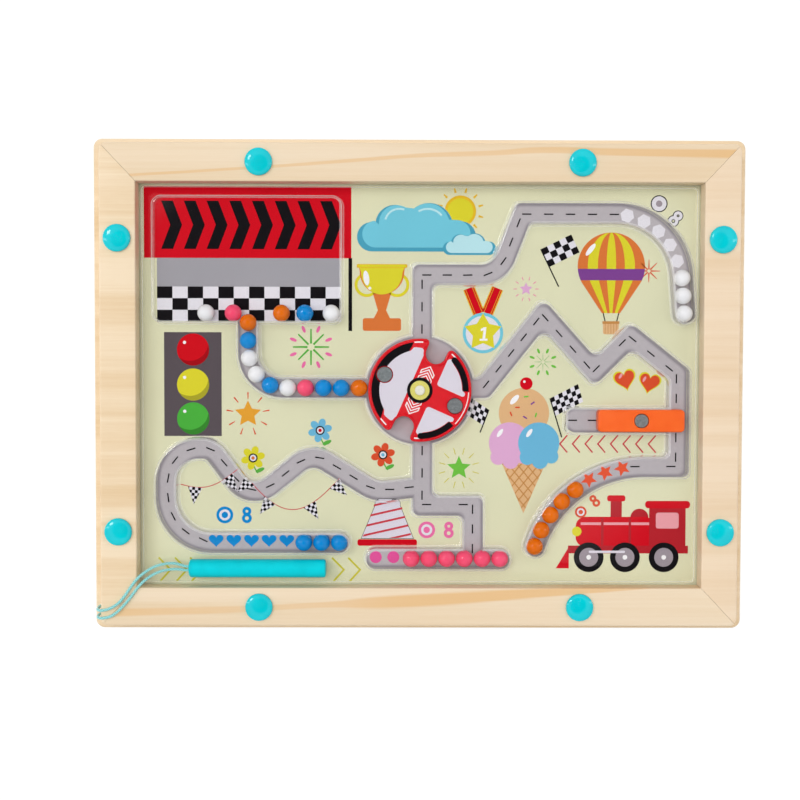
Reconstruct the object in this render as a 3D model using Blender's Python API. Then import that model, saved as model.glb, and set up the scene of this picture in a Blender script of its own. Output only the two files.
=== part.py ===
"""A magnetic maze board: steel-cored beads under a clear moulded cover are led along raised lanes with a pen.

The board lies on its back. X runs to the right of the picture, Y up the picture, and Z out of its face.
Lengths are in metres. The origin is the middle of the back face.
"""

import math

import bmesh
import bpy
from mathutils import Vector

# Window and frame
window_width = 0.257
window_height = 0.184
rail_side_width = 0.0165
rail_end_width = 0.0175
rail_depth = 0.0127
rail_corner_radius = 0.0035
rail_edge_chamfer = 0.0007
frame_corner_steps = 7
rabbet_width = 0.004
mitre_gap = 0.0003
seat_gap = 0.0003
overrun = 0.002

# Back board, which stands out past the rails as a ledge
ledge_side_width = 0.005
ledge_end_width = 0.0035
back_thickness = 0.005
back_corner_radius = 0.004
back_edge_chamfer = 0.0005

# Printed board and clear cover
print_thickness = 0.0025
board_corner_radius = 0.0015
cover_wall = 0.0008
tunnel_edge_chamfer = 0.0011
head_room = 0.0004

# Lanes
lane_inner_width = 0.0092
least_corner_radius = 0.0004
round_corner_steps = 4
arc_step = 0.008
arc_turn = math.radians(24)
lane_end_steps = 6

# Beads
bead_diameter = 0.0078
bead_pitch_gap = 0.00035
bead_wall_gap = 0.0002
bead_segments = 10
bead_rings = 8

# Start chamber, where the beads are mixed
chamber_length = 0.0852
chamber_height = 0.0566
chamber_corner_radius = 0.004
chamber_place_share = (-0.306, 0.311)
start_bead_shares = (-0.223, -0.077, 0.181, 0.306, 0.447)

# Gate rotor in its round chamber
hub_place_share = (0.0, -0.011)
rotor_radius = 0.0236
rotor_thickness = 0.0054
rotor_rim_width = 0.001
rotor_rim_rise = 0.0004
rotor_edge_chamfer = 0.0005
rotor_boss_radius = 0.0058
rotor_side_clearance = 0.0014
rotor_turn = math.radians(-24)
rotor_segments = 40
notch_width = 0.0094
notch_depth = 0.0101
notch_mouth_radius = 0.0018
notch_mouth_steps = 3
rotor_disc_diameter = 0.007
rotor_disc_thickness = 0.002
rotor_disc_reach = 0.0176
pocket_gap = 0.0003
steel_disc_edge_share = 0.125

# Rotor axle
axle_radius = 0.0015
axle_head_radius = 0.0023
axle_head_thickness = 0.0011
axle_foot_depth = 0.0035
axle_head_edge_share = 0.33

# Slider that bars the right-hand lane
slider_place_share = (0.3945, -0.086)
slider_length = 0.0398
slider_width = 0.0104
slider_thickness = 0.006
slider_corner_radius = 0.002
slider_edge_chamfer = 0.0006
slider_travel = 0.014
slider_clearance = 0.0005
slider_disc_diameter = 0.0064
slider_disc_thickness = 0.002

# Rivets with domed caps
rivet_cap_radius = 0.00625
rivet_cap_rise = 0.0023
rivet_shank_radius = 0.0025
rivet_foot_radius = 0.004
rivet_foot_thickness = 0.0012
rivet_recess = 0.0004
rivet_segments = 12
rivet_dome_steps = 3
rivet_brim_share = 0.18
rivet_end_share = 0.284
rivet_side_share = 0.361

# Magnet pen
pen_length = 0.0627
pen_diameter = 0.00835
pen_place_share = (-0.2885, -0.4555)
pen_bore_diameter = 0.0058
pen_tip_wall = 0.0012
pen_edge_round = 0.0011
pen_segments = 24
magnet_length = 0.008
plug_length = 0.005
plug_flange_length = 0.0014
plug_flange_radius = 0.0036
plug_eye_spread = 0.0009
plug_eye_depth = 0.003

# Cord and the holes in the frame's side that hold its ends
cord_diameter = 0.0013
cord_hole_gap = 0.0003
cord_hole_depth = 0.002
cord_hole_height = 0.0042
cord_hole_corner_gap = 0.0036
cord_hole_spacing = 0.0036
cord_point_step = 0.003
cord_fine_steps = 8
cord_bevel_steps = 2

# Sides of round cutters, and the angle over which an edge stays sharp
drill_segments = 12
sharp_angle = math.radians(40)

# Worked out from the sizes above
front_width = window_width + 2 * rail_side_width
front_height = window_height + 2 * rail_end_width
back_width = front_width + 2 * ledge_side_width
back_height = front_height + 2 * ledge_end_width
board_width = window_width + 2 * rabbet_width
board_height = window_height + 2 * rabbet_width
print_bottom = back_thickness + seat_gap
print_top = print_bottom + print_thickness
flange_bottom = print_top + seat_gap
flange_top = flange_bottom + cover_wall
rail_bottom = back_thickness + seat_gap
rail_top = rail_bottom + rail_depth
rabbet_top = flange_top + seat_gap
bead_radius = bead_diameter / 2
bead_height = print_top + seat_gap + bead_radius
bead_pitch = bead_diameter + bead_pitch_gap
ceiling = bead_height + bead_radius + head_room
tunnel_top = ceiling + cover_wall
lane_half = lane_inner_width / 2
hub_inner_radius = rotor_radius + rotor_side_clearance
rotor_bottom = print_top + seat_gap
pen_height = flange_top + seat_gap + pen_diameter / 2

# Lane centrelines: corners as shares of the window's width and height, each with its corner radius
queue_corner_radius = 0.016
tight_corner_radius = 0.0030
bend_corner_radius = 0.0040
crest_corner_radius = 0.011
branch_corner_radius = 0.015
left_top_radius = 0.0148
left_low_radius = 0.021
climb_corner_radius = 0.012
white_corner_radius = 0.030
finish_arc_radius = 0.0524
exit_corner_radius = 0.008

queue_lane_shares = [
    (-0.305, 0.217, 0),
    (-0.305, -0.006, queue_corner_radius),
    (0.0, -0.006, 0),
]
white_lane_shares = [
    (0.004, -0.011, 0),
    (0.004, 0.276, tight_corner_radius),
    (0.140, 0.276, climb_corner_radius),
    (0.182, 0.428, tight_corner_radius),
    (0.4565, 0.428, white_corner_radius),
    (0.470, 0.1805, 0),
]
orange_lane_shares = [
    (0.0, -0.006, 0),
    (0.114, -0.006, bend_corner_radius),
    (0.219, 0.179, bend_corner_radius),
    (0.311, 0.035, bend_corner_radius),
    (0.375, 0.125, bend_corner_radius),
    (0.461, 0.030, bend_corner_radius),
    (0.461, -0.202, tight_corner_radius),
    (0.251, -0.202, finish_arc_radius),
    (0.206, -0.401, 0),
]
down_lane_shares = [
    (0.005, -0.011, 0),
    (0.005, -0.299, tight_corner_radius),
    (0.096, -0.299, tight_corner_radius),
    (0.096, -0.432, 0),
]
pink_lane_shares = [
    (-0.078, -0.432, 0),
    (0.144, -0.432, 0),
]
blue_lane_shares = [
    (0.005, -0.252, 0),
    (-0.078, -0.265, branch_corner_radius),
    (-0.192, -0.167, crest_corner_radius),
    (-0.300, -0.289, crest_corner_radius),
    (-0.370, -0.158, exit_corner_radius),
    (-0.451, -0.158, left_top_radius),
    (-0.451, -0.392, left_low_radius),
    (-0.143, -0.392, 0),
]

# Points along each strand of the cord, from its hole in the frame's side to the pen
cord_upper_route = [
    (-0.1433, -0.10165, 0.0095),
    (-0.1450, -0.10165, 0.0095),
    (-0.1462, -0.1017, 0.0100),
    (-0.1468, -0.1018, 0.0115),
    (-0.1469, -0.1020, 0.0140),
    (-0.1467, -0.1022, 0.0165),
    (-0.1457, -0.1023, 0.0184),
    (-0.1437, -0.1022, 0.0190),
    (-0.1405, -0.1013, 0.0190),
    (-0.1370, -0.0991, 0.0190),
    (-0.1342, -0.0960, 0.0190),
    (-0.1319, -0.0927, 0.0190),
    (-0.1297, -0.0896, 0.0190),
    (-0.1272, -0.0868, 0.0187),
    (-0.1240, -0.0844, 0.0180),
    (-0.1205, -0.0825, 0.0171),
    (-0.1165, -0.0815, 0.0158),
    (-0.1125, -0.0814, 0.0144),
    (-0.1090, -0.0823, 0.0136),
    (-0.1073, -0.0829, 0.0134),
    (-0.1058, -0.0829, 0.0134),
]
cord_lower_route = [
    (-0.1433, -0.10525, 0.0095),
    (-0.1450, -0.10525, 0.0095),
    (-0.1462, -0.1053, 0.0100),
    (-0.1468, -0.1054, 0.0115),
    (-0.1469, -0.1055, 0.0140),
    (-0.1466, -0.1057, 0.0166),
    (-0.1455, -0.1058, 0.0184),
    (-0.1434, -0.1057, 0.0190),
    (-0.1403, -0.1049, 0.0190),
    (-0.1372, -0.1028, 0.0190),
    (-0.1345, -0.1001, 0.0190),
    (-0.1320, -0.0972, 0.0190),
    (-0.1297, -0.0941, 0.0190),
    (-0.1274, -0.0911, 0.0188),
    (-0.1246, -0.0884, 0.0182),
    (-0.1210, -0.0860, 0.0173),
    (-0.1168, -0.0845, 0.0159),
    (-0.1125, -0.0841, 0.0145),
    (-0.1092, -0.0844, 0.0137),
    (-0.1073, -0.0847, 0.0134),
    (-0.1058, -0.0847, 0.0134),
]

# Colours, as red, green and blue
pine = (0.85, 0.67, 0.47)
board_print = (0.73, 0.72, 0.47)
clear = (0.95, 0.97, 0.97)
turquoise = (0.0, 0.58, 0.67)
cord_blue = (0.29, 0.73, 0.75)
rotor_red = (0.70, 0.03, 0.04)
slider_orange = (1.0, 0.15, 0.02)
steel = (0.55, 0.56, 0.58)
axle_white = (0.85, 0.85, 0.80)
magnet_black = (0.05, 0.05, 0.05)
bead_colours = {
    "white": (0.82, 0.82, 0.84),
    "pink": (0.86, 0.08, 0.19),
    "orange": (0.74, 0.19, 0.01),
    "blue": (0.01, 0.23, 0.62),
}
start_bead_colours = ("white", "pink", "orange", "blue", "white")
queue_bead_colours = (
    "orange", "blue", "blue", "pink", "white",
    "blue", "white", "white", "blue", "orange",
)

end_row_counts = {"blue": 3, "pink": 6, "orange": 5, "white": 3}


def clear_scene():
    for old in list(bpy.data.objects):
        bpy.data.objects.remove(old, do_unlink=True)


def look(name, colour, roughness=0.5, metallic=0.0, alpha=1.0):
    """A material of its own for one object."""
    material = bpy.data.materials.new(name)
    material.use_nodes = True
    shader = material.node_tree.nodes["Principled BSDF"]
    shader.inputs["Base Color"].default_value = (*colour, 1.0)
    shader.inputs["Roughness"].default_value = roughness
    shader.inputs["Metallic"].default_value = metallic
    shader.inputs["Alpha"].default_value = alpha
    return material


def place_mesh(name, points, faces, smooth_angle=None):
    """A mesh object at the origin from points and faces, with its faces turned outwards."""
    mesh = bpy.data.meshes.new(name)
    mesh.from_pydata([tuple(p) for p in points], [], faces)
    shape = bmesh.new()
    shape.from_mesh(mesh)
    bmesh.ops.recalc_face_normals(shape, faces=shape.faces)
    shape.to_mesh(mesh)
    shape.free()
    if smooth_angle is not None:
        mesh.shade_smooth()
        mesh.set_sharp_from_angle(angle=smooth_angle)
    piece = bpy.data.objects.new(name, mesh)
    bpy.context.scene.collection.objects.link(piece)
    return piece


def stacked(name, levels):
    """A solid through outlines of equal length, each at its own height."""
    points = [(x, y, z) for outline, z in levels for x, y in outline]
    count = len(levels[0][0])
    faces = [list(range(count)), list(range(len(points) - count, len(points)))]
    for level in range(len(levels) - 1):
        low = level * count
        high = low + count
        for i in range(count):
            j = (i + 1) % count
            faces.append([low + i, low + j, high + j, high + i])
    return place_mesh(name, points, faces)


def turned(name, profile, segments):
    """A solid turned about Z. A profile that leaves the axis free closes on itself round a bore."""
    points = []
    rings = []
    for radius, height in profile:
        if radius == 0:
            rings.append([len(points)] * segments)
            points.append((0, 0, height))
            continue
        rings.append(list(range(len(points), len(points) + segments)))
        for i in range(segments):
            angle = 2 * math.pi * i / segments
            points.append((radius * math.cos(angle), radius * math.sin(angle), height))
    pairs = list(zip(rings, rings[1:]))
    if profile[0][0] > 0 and profile[-1][0] > 0:
        pairs.append((rings[-1], rings[0]))
    faces = []
    for low, high in pairs:
        for i in range(segments):
            j = (i + 1) % segments
            corners = [low[i], low[j], high[j], high[i]]
            faces.append(list(dict.fromkeys(corners)))
    return place_mesh(name, points, faces, sharp_angle)


def dress(piece, colour, roughness=0.5, metallic=0.0, alpha=1.0):
    piece.data.materials.clear()
    piece.data.materials.append(look(piece.name, colour, roughness, metallic, alpha))
    return piece


def cutter_group(name):
    group = bpy.data.collections.new(name)
    bpy.context.scene.collection.children.link(group)
    return group


def as_cutter(piece, group):
    """A shape that only cuts or joins others."""
    piece.hide_render = True
    piece.display_type = "WIRE"
    bpy.context.scene.collection.objects.unlink(piece)
    group.objects.link(piece)
    return piece


def cut(piece, operation, group, solver="EXACT"):
    step = piece.modifiers.new(group.name, "BOOLEAN")
    step.operation = operation
    step.operand_type = "COLLECTION"
    step.collection = group
    step.solver = solver


def on_window(share):
    """The place of a share of the window's width and height."""
    return Vector((share[0] * window_width, share[1] * window_height))


def rounded_box(width, height, radius, centre=(0, 0), steps=round_corner_steps):
    """An upright rectangle's outline with round corners."""
    outline = []
    turns = ((1, 1), (-1, 1), (-1, -1), (1, -1))
    for quarter, (side_x, side_y) in enumerate(turns):
        x = centre[0] + side_x * (width / 2 - radius)
        y = centre[1] + side_y * (height / 2 - radius)
        for i in range(steps + 1):
            angle = math.pi / 2 * (quarter + i / steps)
            outline.append((x + radius * math.cos(angle), y + radius * math.sin(angle)))
    return outline


def circle(radius, centre, steps):
    turns = [2 * math.pi * i / steps for i in range(steps)]
    return [(centre[0] + radius * math.cos(t), centre[1] + radius * math.sin(t)) for t in turns]


def swing(arm, angle):
    """A flat vector turned anticlockwise by an angle."""
    return Vector((
        arm.x * math.cos(angle) - arm.y * math.sin(angle),
        arm.x * math.sin(angle) + arm.y * math.cos(angle),
    ))


def lane_side(corners, side):
    """A lane's line at a distance to the left of its centreline, with each corner rounded.

    A sharp corner, with a radius under half a lane's width, has that radius on both of its walls.
    Gives the points, and for each corner its arc's centre, radius and end.
    """
    places = [on_window(c) for c in corners]
    ways = [(b - a).normalized() for a, b in zip(places, places[1:])]
    lefts = [Vector((-w.y, w.x)) for w in ways]
    shifted = [places[0] + lefts[0] * side]
    turns = [0.0]
    trims = [0.0]
    for i in range(1, len(places) - 1):
        both = lefts[i - 1] + lefts[i]
        shifted.append(places[i] + both * side / (1 + lefts[i - 1].dot(lefts[i])))
        turns.append(math.atan2(ways[i - 1].cross(ways[i]), ways[i - 1].dot(ways[i])))
        inward = side * math.copysign(1, turns[i])
        radius = corners[i][2]
        if radius > lane_half:
            radius = max(radius - inward, least_corner_radius)
        trims.append(radius * math.tan(abs(turns[i]) / 2))
    shifted.append(places[-1] + lefts[-1] * side)
    turns.append(0.0)
    trims.append(0.0)
    for i in range(len(places) - 1):
        room = (shifted[i + 1] - shifted[i]).length
        wanted = trims[i] + trims[i + 1]
        if wanted > room:
            trims[i] *= room / wanted
            trims[i + 1] *= room / wanted
    points = [shifted[0]]
    arcs = []
    for i in range(1, len(places) - 1):
        start = shifted[i] - ways[i - 1] * trims[i]
        size = abs(turns[i])
        radius = trims[i] / math.tan(size / 2)
        middle = start + lefts[i - 1] * math.copysign(radius, turns[i])
        steps = max(2, math.ceil(size / arc_turn), math.ceil(corners[i][2] * size / arc_step))
        for k in range(steps + 1):
            points.append(middle + swing(start - middle, turns[i] * k / steps))
        arcs.append((middle, radius, points[-1]))
    points.append(shifted[-1])
    return points, arcs


def half_round(tip, rim):
    """Points half-way round a lane's end, clockwise from a point on its rim."""
    return [
        tip + swing(rim - tip, -math.pi * k / lane_end_steps)
        for k in range(1, lane_end_steps)
    ]


def lane_outline(corners, half_width):
    """A lane's outline with half-round ends."""
    left, _ = lane_side(corners, half_width)
    right, _ = lane_side(corners, -half_width)
    first = on_window(corners[0])
    last = on_window(corners[-1])
    outline = left + half_round(last, left[-1]) + right[::-1] + half_round(first, right[0])
    return [(p.x, p.y) for p in outline]


def walk(points, distance):
    """The place at a distance along a line from its first point."""
    for a, b in zip(points, points[1:]):
        step = (b - a).length
        if distance <= step:
            return a + (b - a) * (distance / step)
        distance -= step
    return points[-1]


def make_back_board(rivet_places):
    inner = 2 * back_edge_chamfer
    full = rounded_box(back_width, back_height, back_corner_radius, steps=frame_corner_steps)
    small_radius = back_corner_radius - back_edge_chamfer
    small = rounded_box(
        back_width - inner, back_height - inner, small_radius, steps=frame_corner_steps
    )
    board = stacked("back_board", [
        (small, 0),
        (full, back_edge_chamfer),
        (full, back_thickness - back_edge_chamfer),
        (small, back_thickness),
    ])
    group = cutter_group("back_board_cuts")
    foot_top = rivet_recess + rivet_foot_thickness
    for number, place in enumerate(rivet_places, 1):
        drill(f"back_bore_{number}", place, rivet_shank_radius, 0, back_thickness, group)
        drill(f"back_recess_{number}", place, rivet_foot_radius, 0, foot_top, group, blind=True)
    hub = on_window(hub_place_share)
    bottom = back_thickness - axle_foot_depth
    drill("axle_socket", hub, axle_radius, bottom, back_thickness, group, open_down=False)
    cut(board, "DIFFERENCE", group)
    return dress(board, pine, 0.6)


def drill(name, place, radius, low, high, group, blind=False, open_down=True):
    """A round cutter with the seat gap round what goes in it. A blind one stops a gap past its top."""
    start = low - overrun if open_down else low - seat_gap
    stop = high + seat_gap if blind else high + overrun
    outline = circle(radius + seat_gap, place, drill_segments)
    return as_cutter(stacked(name, [(outline, start), (outline, stop)]), group)


def make_rails(rivet_places, cord_holes):
    """Four mitred rails, rabbeted underneath to hold the printed board and the cover."""
    half = Vector((window_width / 2, window_height / 2))
    outer = Vector((front_width / 2, front_height / 2))
    along = (outer - half).normalized() * overrun
    inner_end = half - along
    outer_end = outer + along
    shift = mitre_gap / math.sqrt(2)

    shared = cutter_group("frame_cuts")
    window = rounded_box(window_width, window_height, least_corner_radius)
    flare = 2 * (rail_edge_chamfer + overrun)
    flared_radius = least_corner_radius + rail_edge_chamfer + overrun
    flared = rounded_box(window_width + flare, window_height + flare, flared_radius)
    as_cutter(stacked("window_cut", [
        (window, rail_bottom - overrun),
        (window, rail_top - rail_edge_chamfer),
        (flared, rail_top + overrun),
    ]), shared)
    rabbet = rounded_box(
        board_width + 2 * seat_gap, board_height + 2 * seat_gap, board_corner_radius + seat_gap
    )
    as_cutter(stacked("rabbet_cut", [
        (rabbet, rail_bottom - overrun),
        (rabbet, rabbet_top),
    ]), shared)
    for number, place in enumerate(rivet_places, 1):
        drill(f"rail_bore_{number}", place, rivet_shank_radius, rail_bottom, rail_top, shared)
    for number, place in enumerate(cord_holes, 1):
        hole = turned(f"cord_bore_{number}", [
            (0, -overrun),
            (cord_diameter / 2 + cord_hole_gap, -overrun),
            (cord_diameter / 2 + cord_hole_gap, cord_hole_depth),
            (0, cord_hole_depth),
        ], drill_segments)
        hole.rotation_euler = (0, math.pi / 2, 0)
        hole.location = place
        as_cutter(hole, shared)

    rails = []
    for name, upright, side in (
        ("rail_top", False, 1),
        ("rail_bottom", False, -1),
        ("rail_left", True, -1),
        ("rail_right", True, 1),
    ):
        full = rounded_box(front_width, front_height, rail_corner_radius, steps=frame_corner_steps)
        inset = 2 * rail_edge_chamfer
        small_radius = rail_corner_radius - rail_edge_chamfer
        small = rounded_box(
            front_width - inset, front_height - inset, small_radius, steps=frame_corner_steps
        )
        rail = stacked(name, [
            (full, rail_bottom),
            (full, rail_top - rail_edge_chamfer),
            (small, rail_top),
        ])
        if upright:
            wedge = [
                (side * inner_end.x, -(inner_end.y - shift)),
                (side * outer_end.x, -(outer_end.y - shift)),
                (side * outer_end.x, outer_end.y - shift),
                (side * inner_end.x, inner_end.y - shift),
            ]
        else:
            wedge = [
                (-(inner_end.x - shift), side * inner_end.y),
                (-(outer_end.x - shift), side * outer_end.y),
                (outer_end.x - shift, side * outer_end.y),
                (inner_end.x - shift, side * inner_end.y),
            ]
        kept = cutter_group(f"{name}_mitres")
        as_cutter(stacked(f"{name}_wedge", [
            (wedge, rail_bottom - overrun),
            (wedge, rail_top + overrun),
        ]), kept)
        cut(rail, "INTERSECT", kept)
        cut(rail, "DIFFERENCE", shared)
        rails.append(dress(rail, pine, 0.6))
    return rails


def make_rivet(number, place):
    """A push rivet: domed cap, shank through rail and back board, and a snap foot in its recess."""
    cap_low = rail_top + seat_gap
    cap_high = cap_low + rivet_cap_rise
    foot_low = rivet_recess
    foot_high = foot_low + rivet_foot_thickness
    profile = [(0, cap_high)]
    brim = rivet_cap_rise * rivet_brim_share
    for i in range(1, rivet_dome_steps + 1):
        angle = math.pi / 2 * i / rivet_dome_steps
        radius = rivet_cap_radius * math.sin(angle)
        profile.append((radius, cap_low + brim + (rivet_cap_rise - brim) * math.cos(angle)))
    profile += [
        (rivet_cap_radius, cap_low),
        (rivet_shank_radius, cap_low),
        (rivet_shank_radius, foot_high),
        (rivet_foot_radius, foot_high),
        (rivet_shank_radius, foot_low),
        (0, foot_low),
    ]
    rivet = turned(f"rivet_{number}", profile, rivet_segments)
    rivet.location = (place.x, place.y, 0)
    return dress(rivet, turquoise, 0.3)


def make_printed_board():
    outline = rounded_box(board_width, board_height, board_corner_radius)
    board = stacked("printed_board", [(outline, print_bottom), (outline, print_top)])
    group = cutter_group("printed_board_cuts")
    hub = on_window(hub_place_share)
    drill("axle_hole", hub, axle_radius, print_bottom, print_top, group)
    cut(board, "DIFFERENCE", group)
    return dress(board, board_print, 0.45)


def slider_lane_box(grow):
    """The slider lane's outline: the bar's own outline, its travel to the left and its clearance."""
    place = on_window(slider_place_share)
    length = slider_length + slider_travel + 2 * (slider_clearance + grow)
    width = slider_width + 2 * (slider_clearance + grow)
    centre = (place.x - slider_travel / 2, place.y)
    return rounded_box(length, width, slider_corner_radius + slider_clearance + grow, centre)


def chamber_box(grow):
    place = on_window(chamber_place_share)
    width = chamber_length + 2 * grow
    height = chamber_height + 2 * grow
    return rounded_box(width, height, chamber_corner_radius + grow, place)


def make_clear_cover():
    """A clear moulded sheet: a flat flange with hollow raised lanes, open underneath."""
    hub = on_window(hub_place_share)
    hub_steps = rotor_segments
    spaces = {
        "queue_lane": lambda grow: lane_outline(queue_lane_shares, lane_half + grow),
        "white_lane": lambda grow: lane_outline(white_lane_shares, lane_half + grow),
        "orange_lane": lambda grow: lane_outline(orange_lane_shares, lane_half + grow),
        "down_lane": lambda grow: lane_outline(down_lane_shares, lane_half + grow),
        "pink_lane": lambda grow: lane_outline(pink_lane_shares, lane_half + grow),
        "blue_lane": lambda grow: lane_outline(blue_lane_shares, lane_half + grow),
        "slider_lane": slider_lane_box,
        "chamber": chamber_box,
        "hub": lambda grow: circle(hub_inner_radius + grow, hub, hub_steps),
    }
    outline = rounded_box(board_width, board_height, board_corner_radius)
    cover = stacked("clear_cover", [(outline, flange_bottom), (outline, flange_top)])
    outsides = cutter_group("lane_outsides")
    insides = cutter_group("lane_insides")
    for name, outline_of in spaces.items():
        wall_line = outline_of(cover_wall)
        as_cutter(stacked(f"{name}_outside", [
            (wall_line, flange_bottom + cover_wall / 2),
            (wall_line, tunnel_top - tunnel_edge_chamfer),
            (outline_of(cover_wall - tunnel_edge_chamfer), tunnel_top),
        ]), outsides)
        hollow_line = outline_of(0)
        hollow_chamfer = tunnel_edge_chamfer - cover_wall / 2
        as_cutter(stacked(f"{name}_inside", [
            (hollow_line, flange_bottom - overrun),
            (hollow_line, ceiling - hollow_chamfer),
            (outline_of(-hollow_chamfer), ceiling),
        ]), insides)
    # The lanes' tops lie in one plane where they cross, which the exact solver can't always join
    cut(cover, "UNION", outsides, "MANIFOLD")
    cut(cover, "DIFFERENCE", insides, "MANIFOLD")
    return dress(cover, clear, 0.05, alpha=0.25)


def notch_outline(side):
    """A notch with a round floor and a mouth rounded into the rim, open past the rim."""
    half = notch_width / 2
    floor = rotor_radius - notch_depth + half
    across = half + notch_mouth_radius
    up = math.sqrt((rotor_radius - notch_mouth_radius) ** 2 - across ** 2)
    lean = math.atan2(up, across)
    far = rotor_radius + overrun
    right = [(far * math.cos(lean), far * math.sin(lean))]
    for i in range(notch_mouth_steps + 1):
        angle = lean + (math.pi - lean) * i / notch_mouth_steps
        x = across + notch_mouth_radius * math.cos(angle)
        right.append((x, up + notch_mouth_radius * math.sin(angle)))
    steps = drill_segments // 2
    turns = [math.pi * i / steps for i in range(steps + 1)]
    bottom = [(half * math.cos(t), floor - half * math.sin(t)) for t in turns]
    left = [(-x, y) for x, y in reversed(right)]
    return [(x, side * y) for x, y in right + bottom + left]


def make_rotor():
    """The gate: a disc with two notches that each carry one bead round the hub."""
    top = rotor_thickness + rotor_rim_rise
    edge = rotor_edge_chamfer
    rim = rotor_radius - rotor_rim_width
    bore = axle_radius + seat_gap
    rotor = turned("gate_rotor", [
        (bore, 0),
        (rotor_radius - edge, 0),
        (rotor_radius, edge),
        (rotor_radius, top - edge),
        (rotor_radius - edge, top),
        (rim, top),
        (rim, rotor_thickness),
        (rotor_boss_radius, rotor_thickness),
        (rotor_boss_radius, top),
        (bore, top),
    ], rotor_segments)
    group = cutter_group("rotor_cuts")
    for number, side in enumerate((1, -1), 1):
        outline = notch_outline(side)
        slot = stacked(f"notch_{number}", [(outline, -overrun), (outline, top + overrun)])
        as_cutter(slot, group)
        pocket = circle(rotor_disc_diameter / 2 + pocket_gap, (side * rotor_disc_reach, 0), drill_segments)
        floor = rotor_thickness - rotor_disc_thickness - pocket_gap
        as_cutter(stacked(f"pocket_{number}", [(pocket, floor), (pocket, top + overrun)]), group)
    hub = on_window(hub_place_share)
    for shape in group.objects:
        shape.location = (hub.x, hub.y, rotor_bottom)
        shape.rotation_euler = (0, 0, rotor_turn)
    rotor.location = (hub.x, hub.y, rotor_bottom)
    rotor.rotation_euler = (0, 0, rotor_turn)
    cut(rotor, "DIFFERENCE", group)
    dress(rotor, rotor_red, 0.35)
    for number, side in enumerate((-1, 1), 1):
        disc = steel_disc(f"rotor_steel_disc_{number}", rotor_disc_diameter, rotor_disc_thickness)
        disc.parent = rotor
        disc.location = (side * rotor_disc_reach, 0, rotor_thickness - rotor_disc_thickness)
    return rotor


def steel_disc(name, diameter, thickness):
    radius = diameter / 2
    edge = thickness * steel_disc_edge_share
    disc = turned(name, [
        (0, 0),
        (radius, 0),
        (radius, thickness - edge),
        (radius - edge, thickness),
        (0, thickness),
    ], drill_segments)
    return dress(disc, steel, 0.3, 1.0)


def make_axle():
    """The rotor's pin: its foot is held in the back board and its head keeps the rotor down."""
    head_low = rotor_bottom + rotor_thickness + rotor_rim_rise + seat_gap
    head_high = head_low + axle_head_thickness
    edge = axle_head_thickness * axle_head_edge_share
    axle = turned("rotor_axle", [
        (0, back_thickness - axle_foot_depth),
        (axle_radius, back_thickness - axle_foot_depth),
        (axle_radius, head_low),
        (axle_head_radius, head_low),
        (axle_head_radius, head_high - edge),
        (axle_head_radius - edge, head_high),
        (0, head_high),
    ], drill_segments)
    hub = on_window(hub_place_share)
    axle.location = (hub.x, hub.y, 0)
    return dress(axle, axle_white, 0.35)


def make_slider():
    place = on_window(slider_place_share)
    edge = slider_edge_chamfer
    full = rounded_box(slider_length, slider_width, slider_corner_radius)
    small = rounded_box(slider_length - 2 * edge, slider_width - 2 * edge, slider_corner_radius - edge)
    bar = stacked("slider_bar", [
        (full, 0),
        (full, slider_thickness - edge),
        (small, slider_thickness),
    ])
    bar.location = (place.x, place.y, print_top + seat_gap)
    group = cutter_group("slider_cuts")
    pocket = circle(slider_disc_diameter / 2 + pocket_gap, (0, 0), drill_segments)
    floor = slider_thickness - slider_disc_thickness - pocket_gap
    hole = stacked("slider_pocket", [(pocket, floor), (pocket, slider_thickness + overrun)])
    hole.location = bar.location
    as_cutter(hole, group)
    cut(bar, "DIFFERENCE", group)
    dress(bar, slider_orange, 0.35)
    disc = steel_disc("slider_steel_disc", slider_disc_diameter, slider_disc_thickness)
    disc.parent = bar
    disc.location = (0, 0, slider_thickness - slider_disc_thickness)
    return bar


def make_pen():
    """A hollow barrel with a magnet in its tip and a plug in its tail, lying along X."""
    place = on_window(pen_place_share)
    radius = pen_diameter / 2
    bore = pen_bore_diameter / 2
    tip = pen_length / 2
    tail = -pen_length / 2 + plug_flange_length + seat_gap
    edge = pen_edge_round
    slope = edge * (1 - math.sqrt(0.5))
    barrel = turned("pen_barrel", [
        (0, tip),
        (radius - edge, tip),
        (radius - slope, tip - slope),
        (radius, tip - edge),
        (radius, tail),
        (bore, tail),
        (bore, tip - pen_tip_wall),
        (0, tip - pen_tip_wall),
    ], pen_segments)
    barrel.location = (place.x, place.y, pen_height)
    barrel.rotation_euler = (0, math.pi / 2, 0)
    dress(barrel, turquoise, 0.3)

    magnet_high = tip - pen_tip_wall - seat_gap
    magnet_radius = bore - seat_gap
    magnet = turned("pen_magnet", [
        (0, magnet_high),
        (magnet_radius, magnet_high),
        (magnet_radius, magnet_high - magnet_length),
        (0, magnet_high - magnet_length),
    ], drill_segments)
    magnet.parent = barrel
    dress(magnet, magnet_black, 0.4, 0.6)

    end = -pen_length / 2
    plug = turned("pen_tail_plug", [
        (0, end),
        (plug_flange_radius, end),
        (radius, end + plug_flange_length / 2),
        (radius, end + plug_flange_length),
        (bore - seat_gap, end + plug_flange_length),
        (bore - seat_gap, end + plug_length),
        (0, end + plug_length),
    ], pen_segments)
    group = cutter_group("plug_cuts")
    for number, side in enumerate((1, -1), 1):
        eye = circle(cord_diameter / 2 + cord_hole_gap, (0, side * plug_eye_spread), drill_segments)
        hole = stacked(f"plug_eye_{number}", [(eye, end - overrun), (eye, end + plug_eye_depth)])
        hole.location = barrel.location
        hole.rotation_euler = barrel.rotation_euler
        as_cutter(hole, group)
    plug.parent = barrel
    cut(plug, "DIFFERENCE", group)
    dress(plug, turquoise, 0.35)
    return barrel


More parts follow.
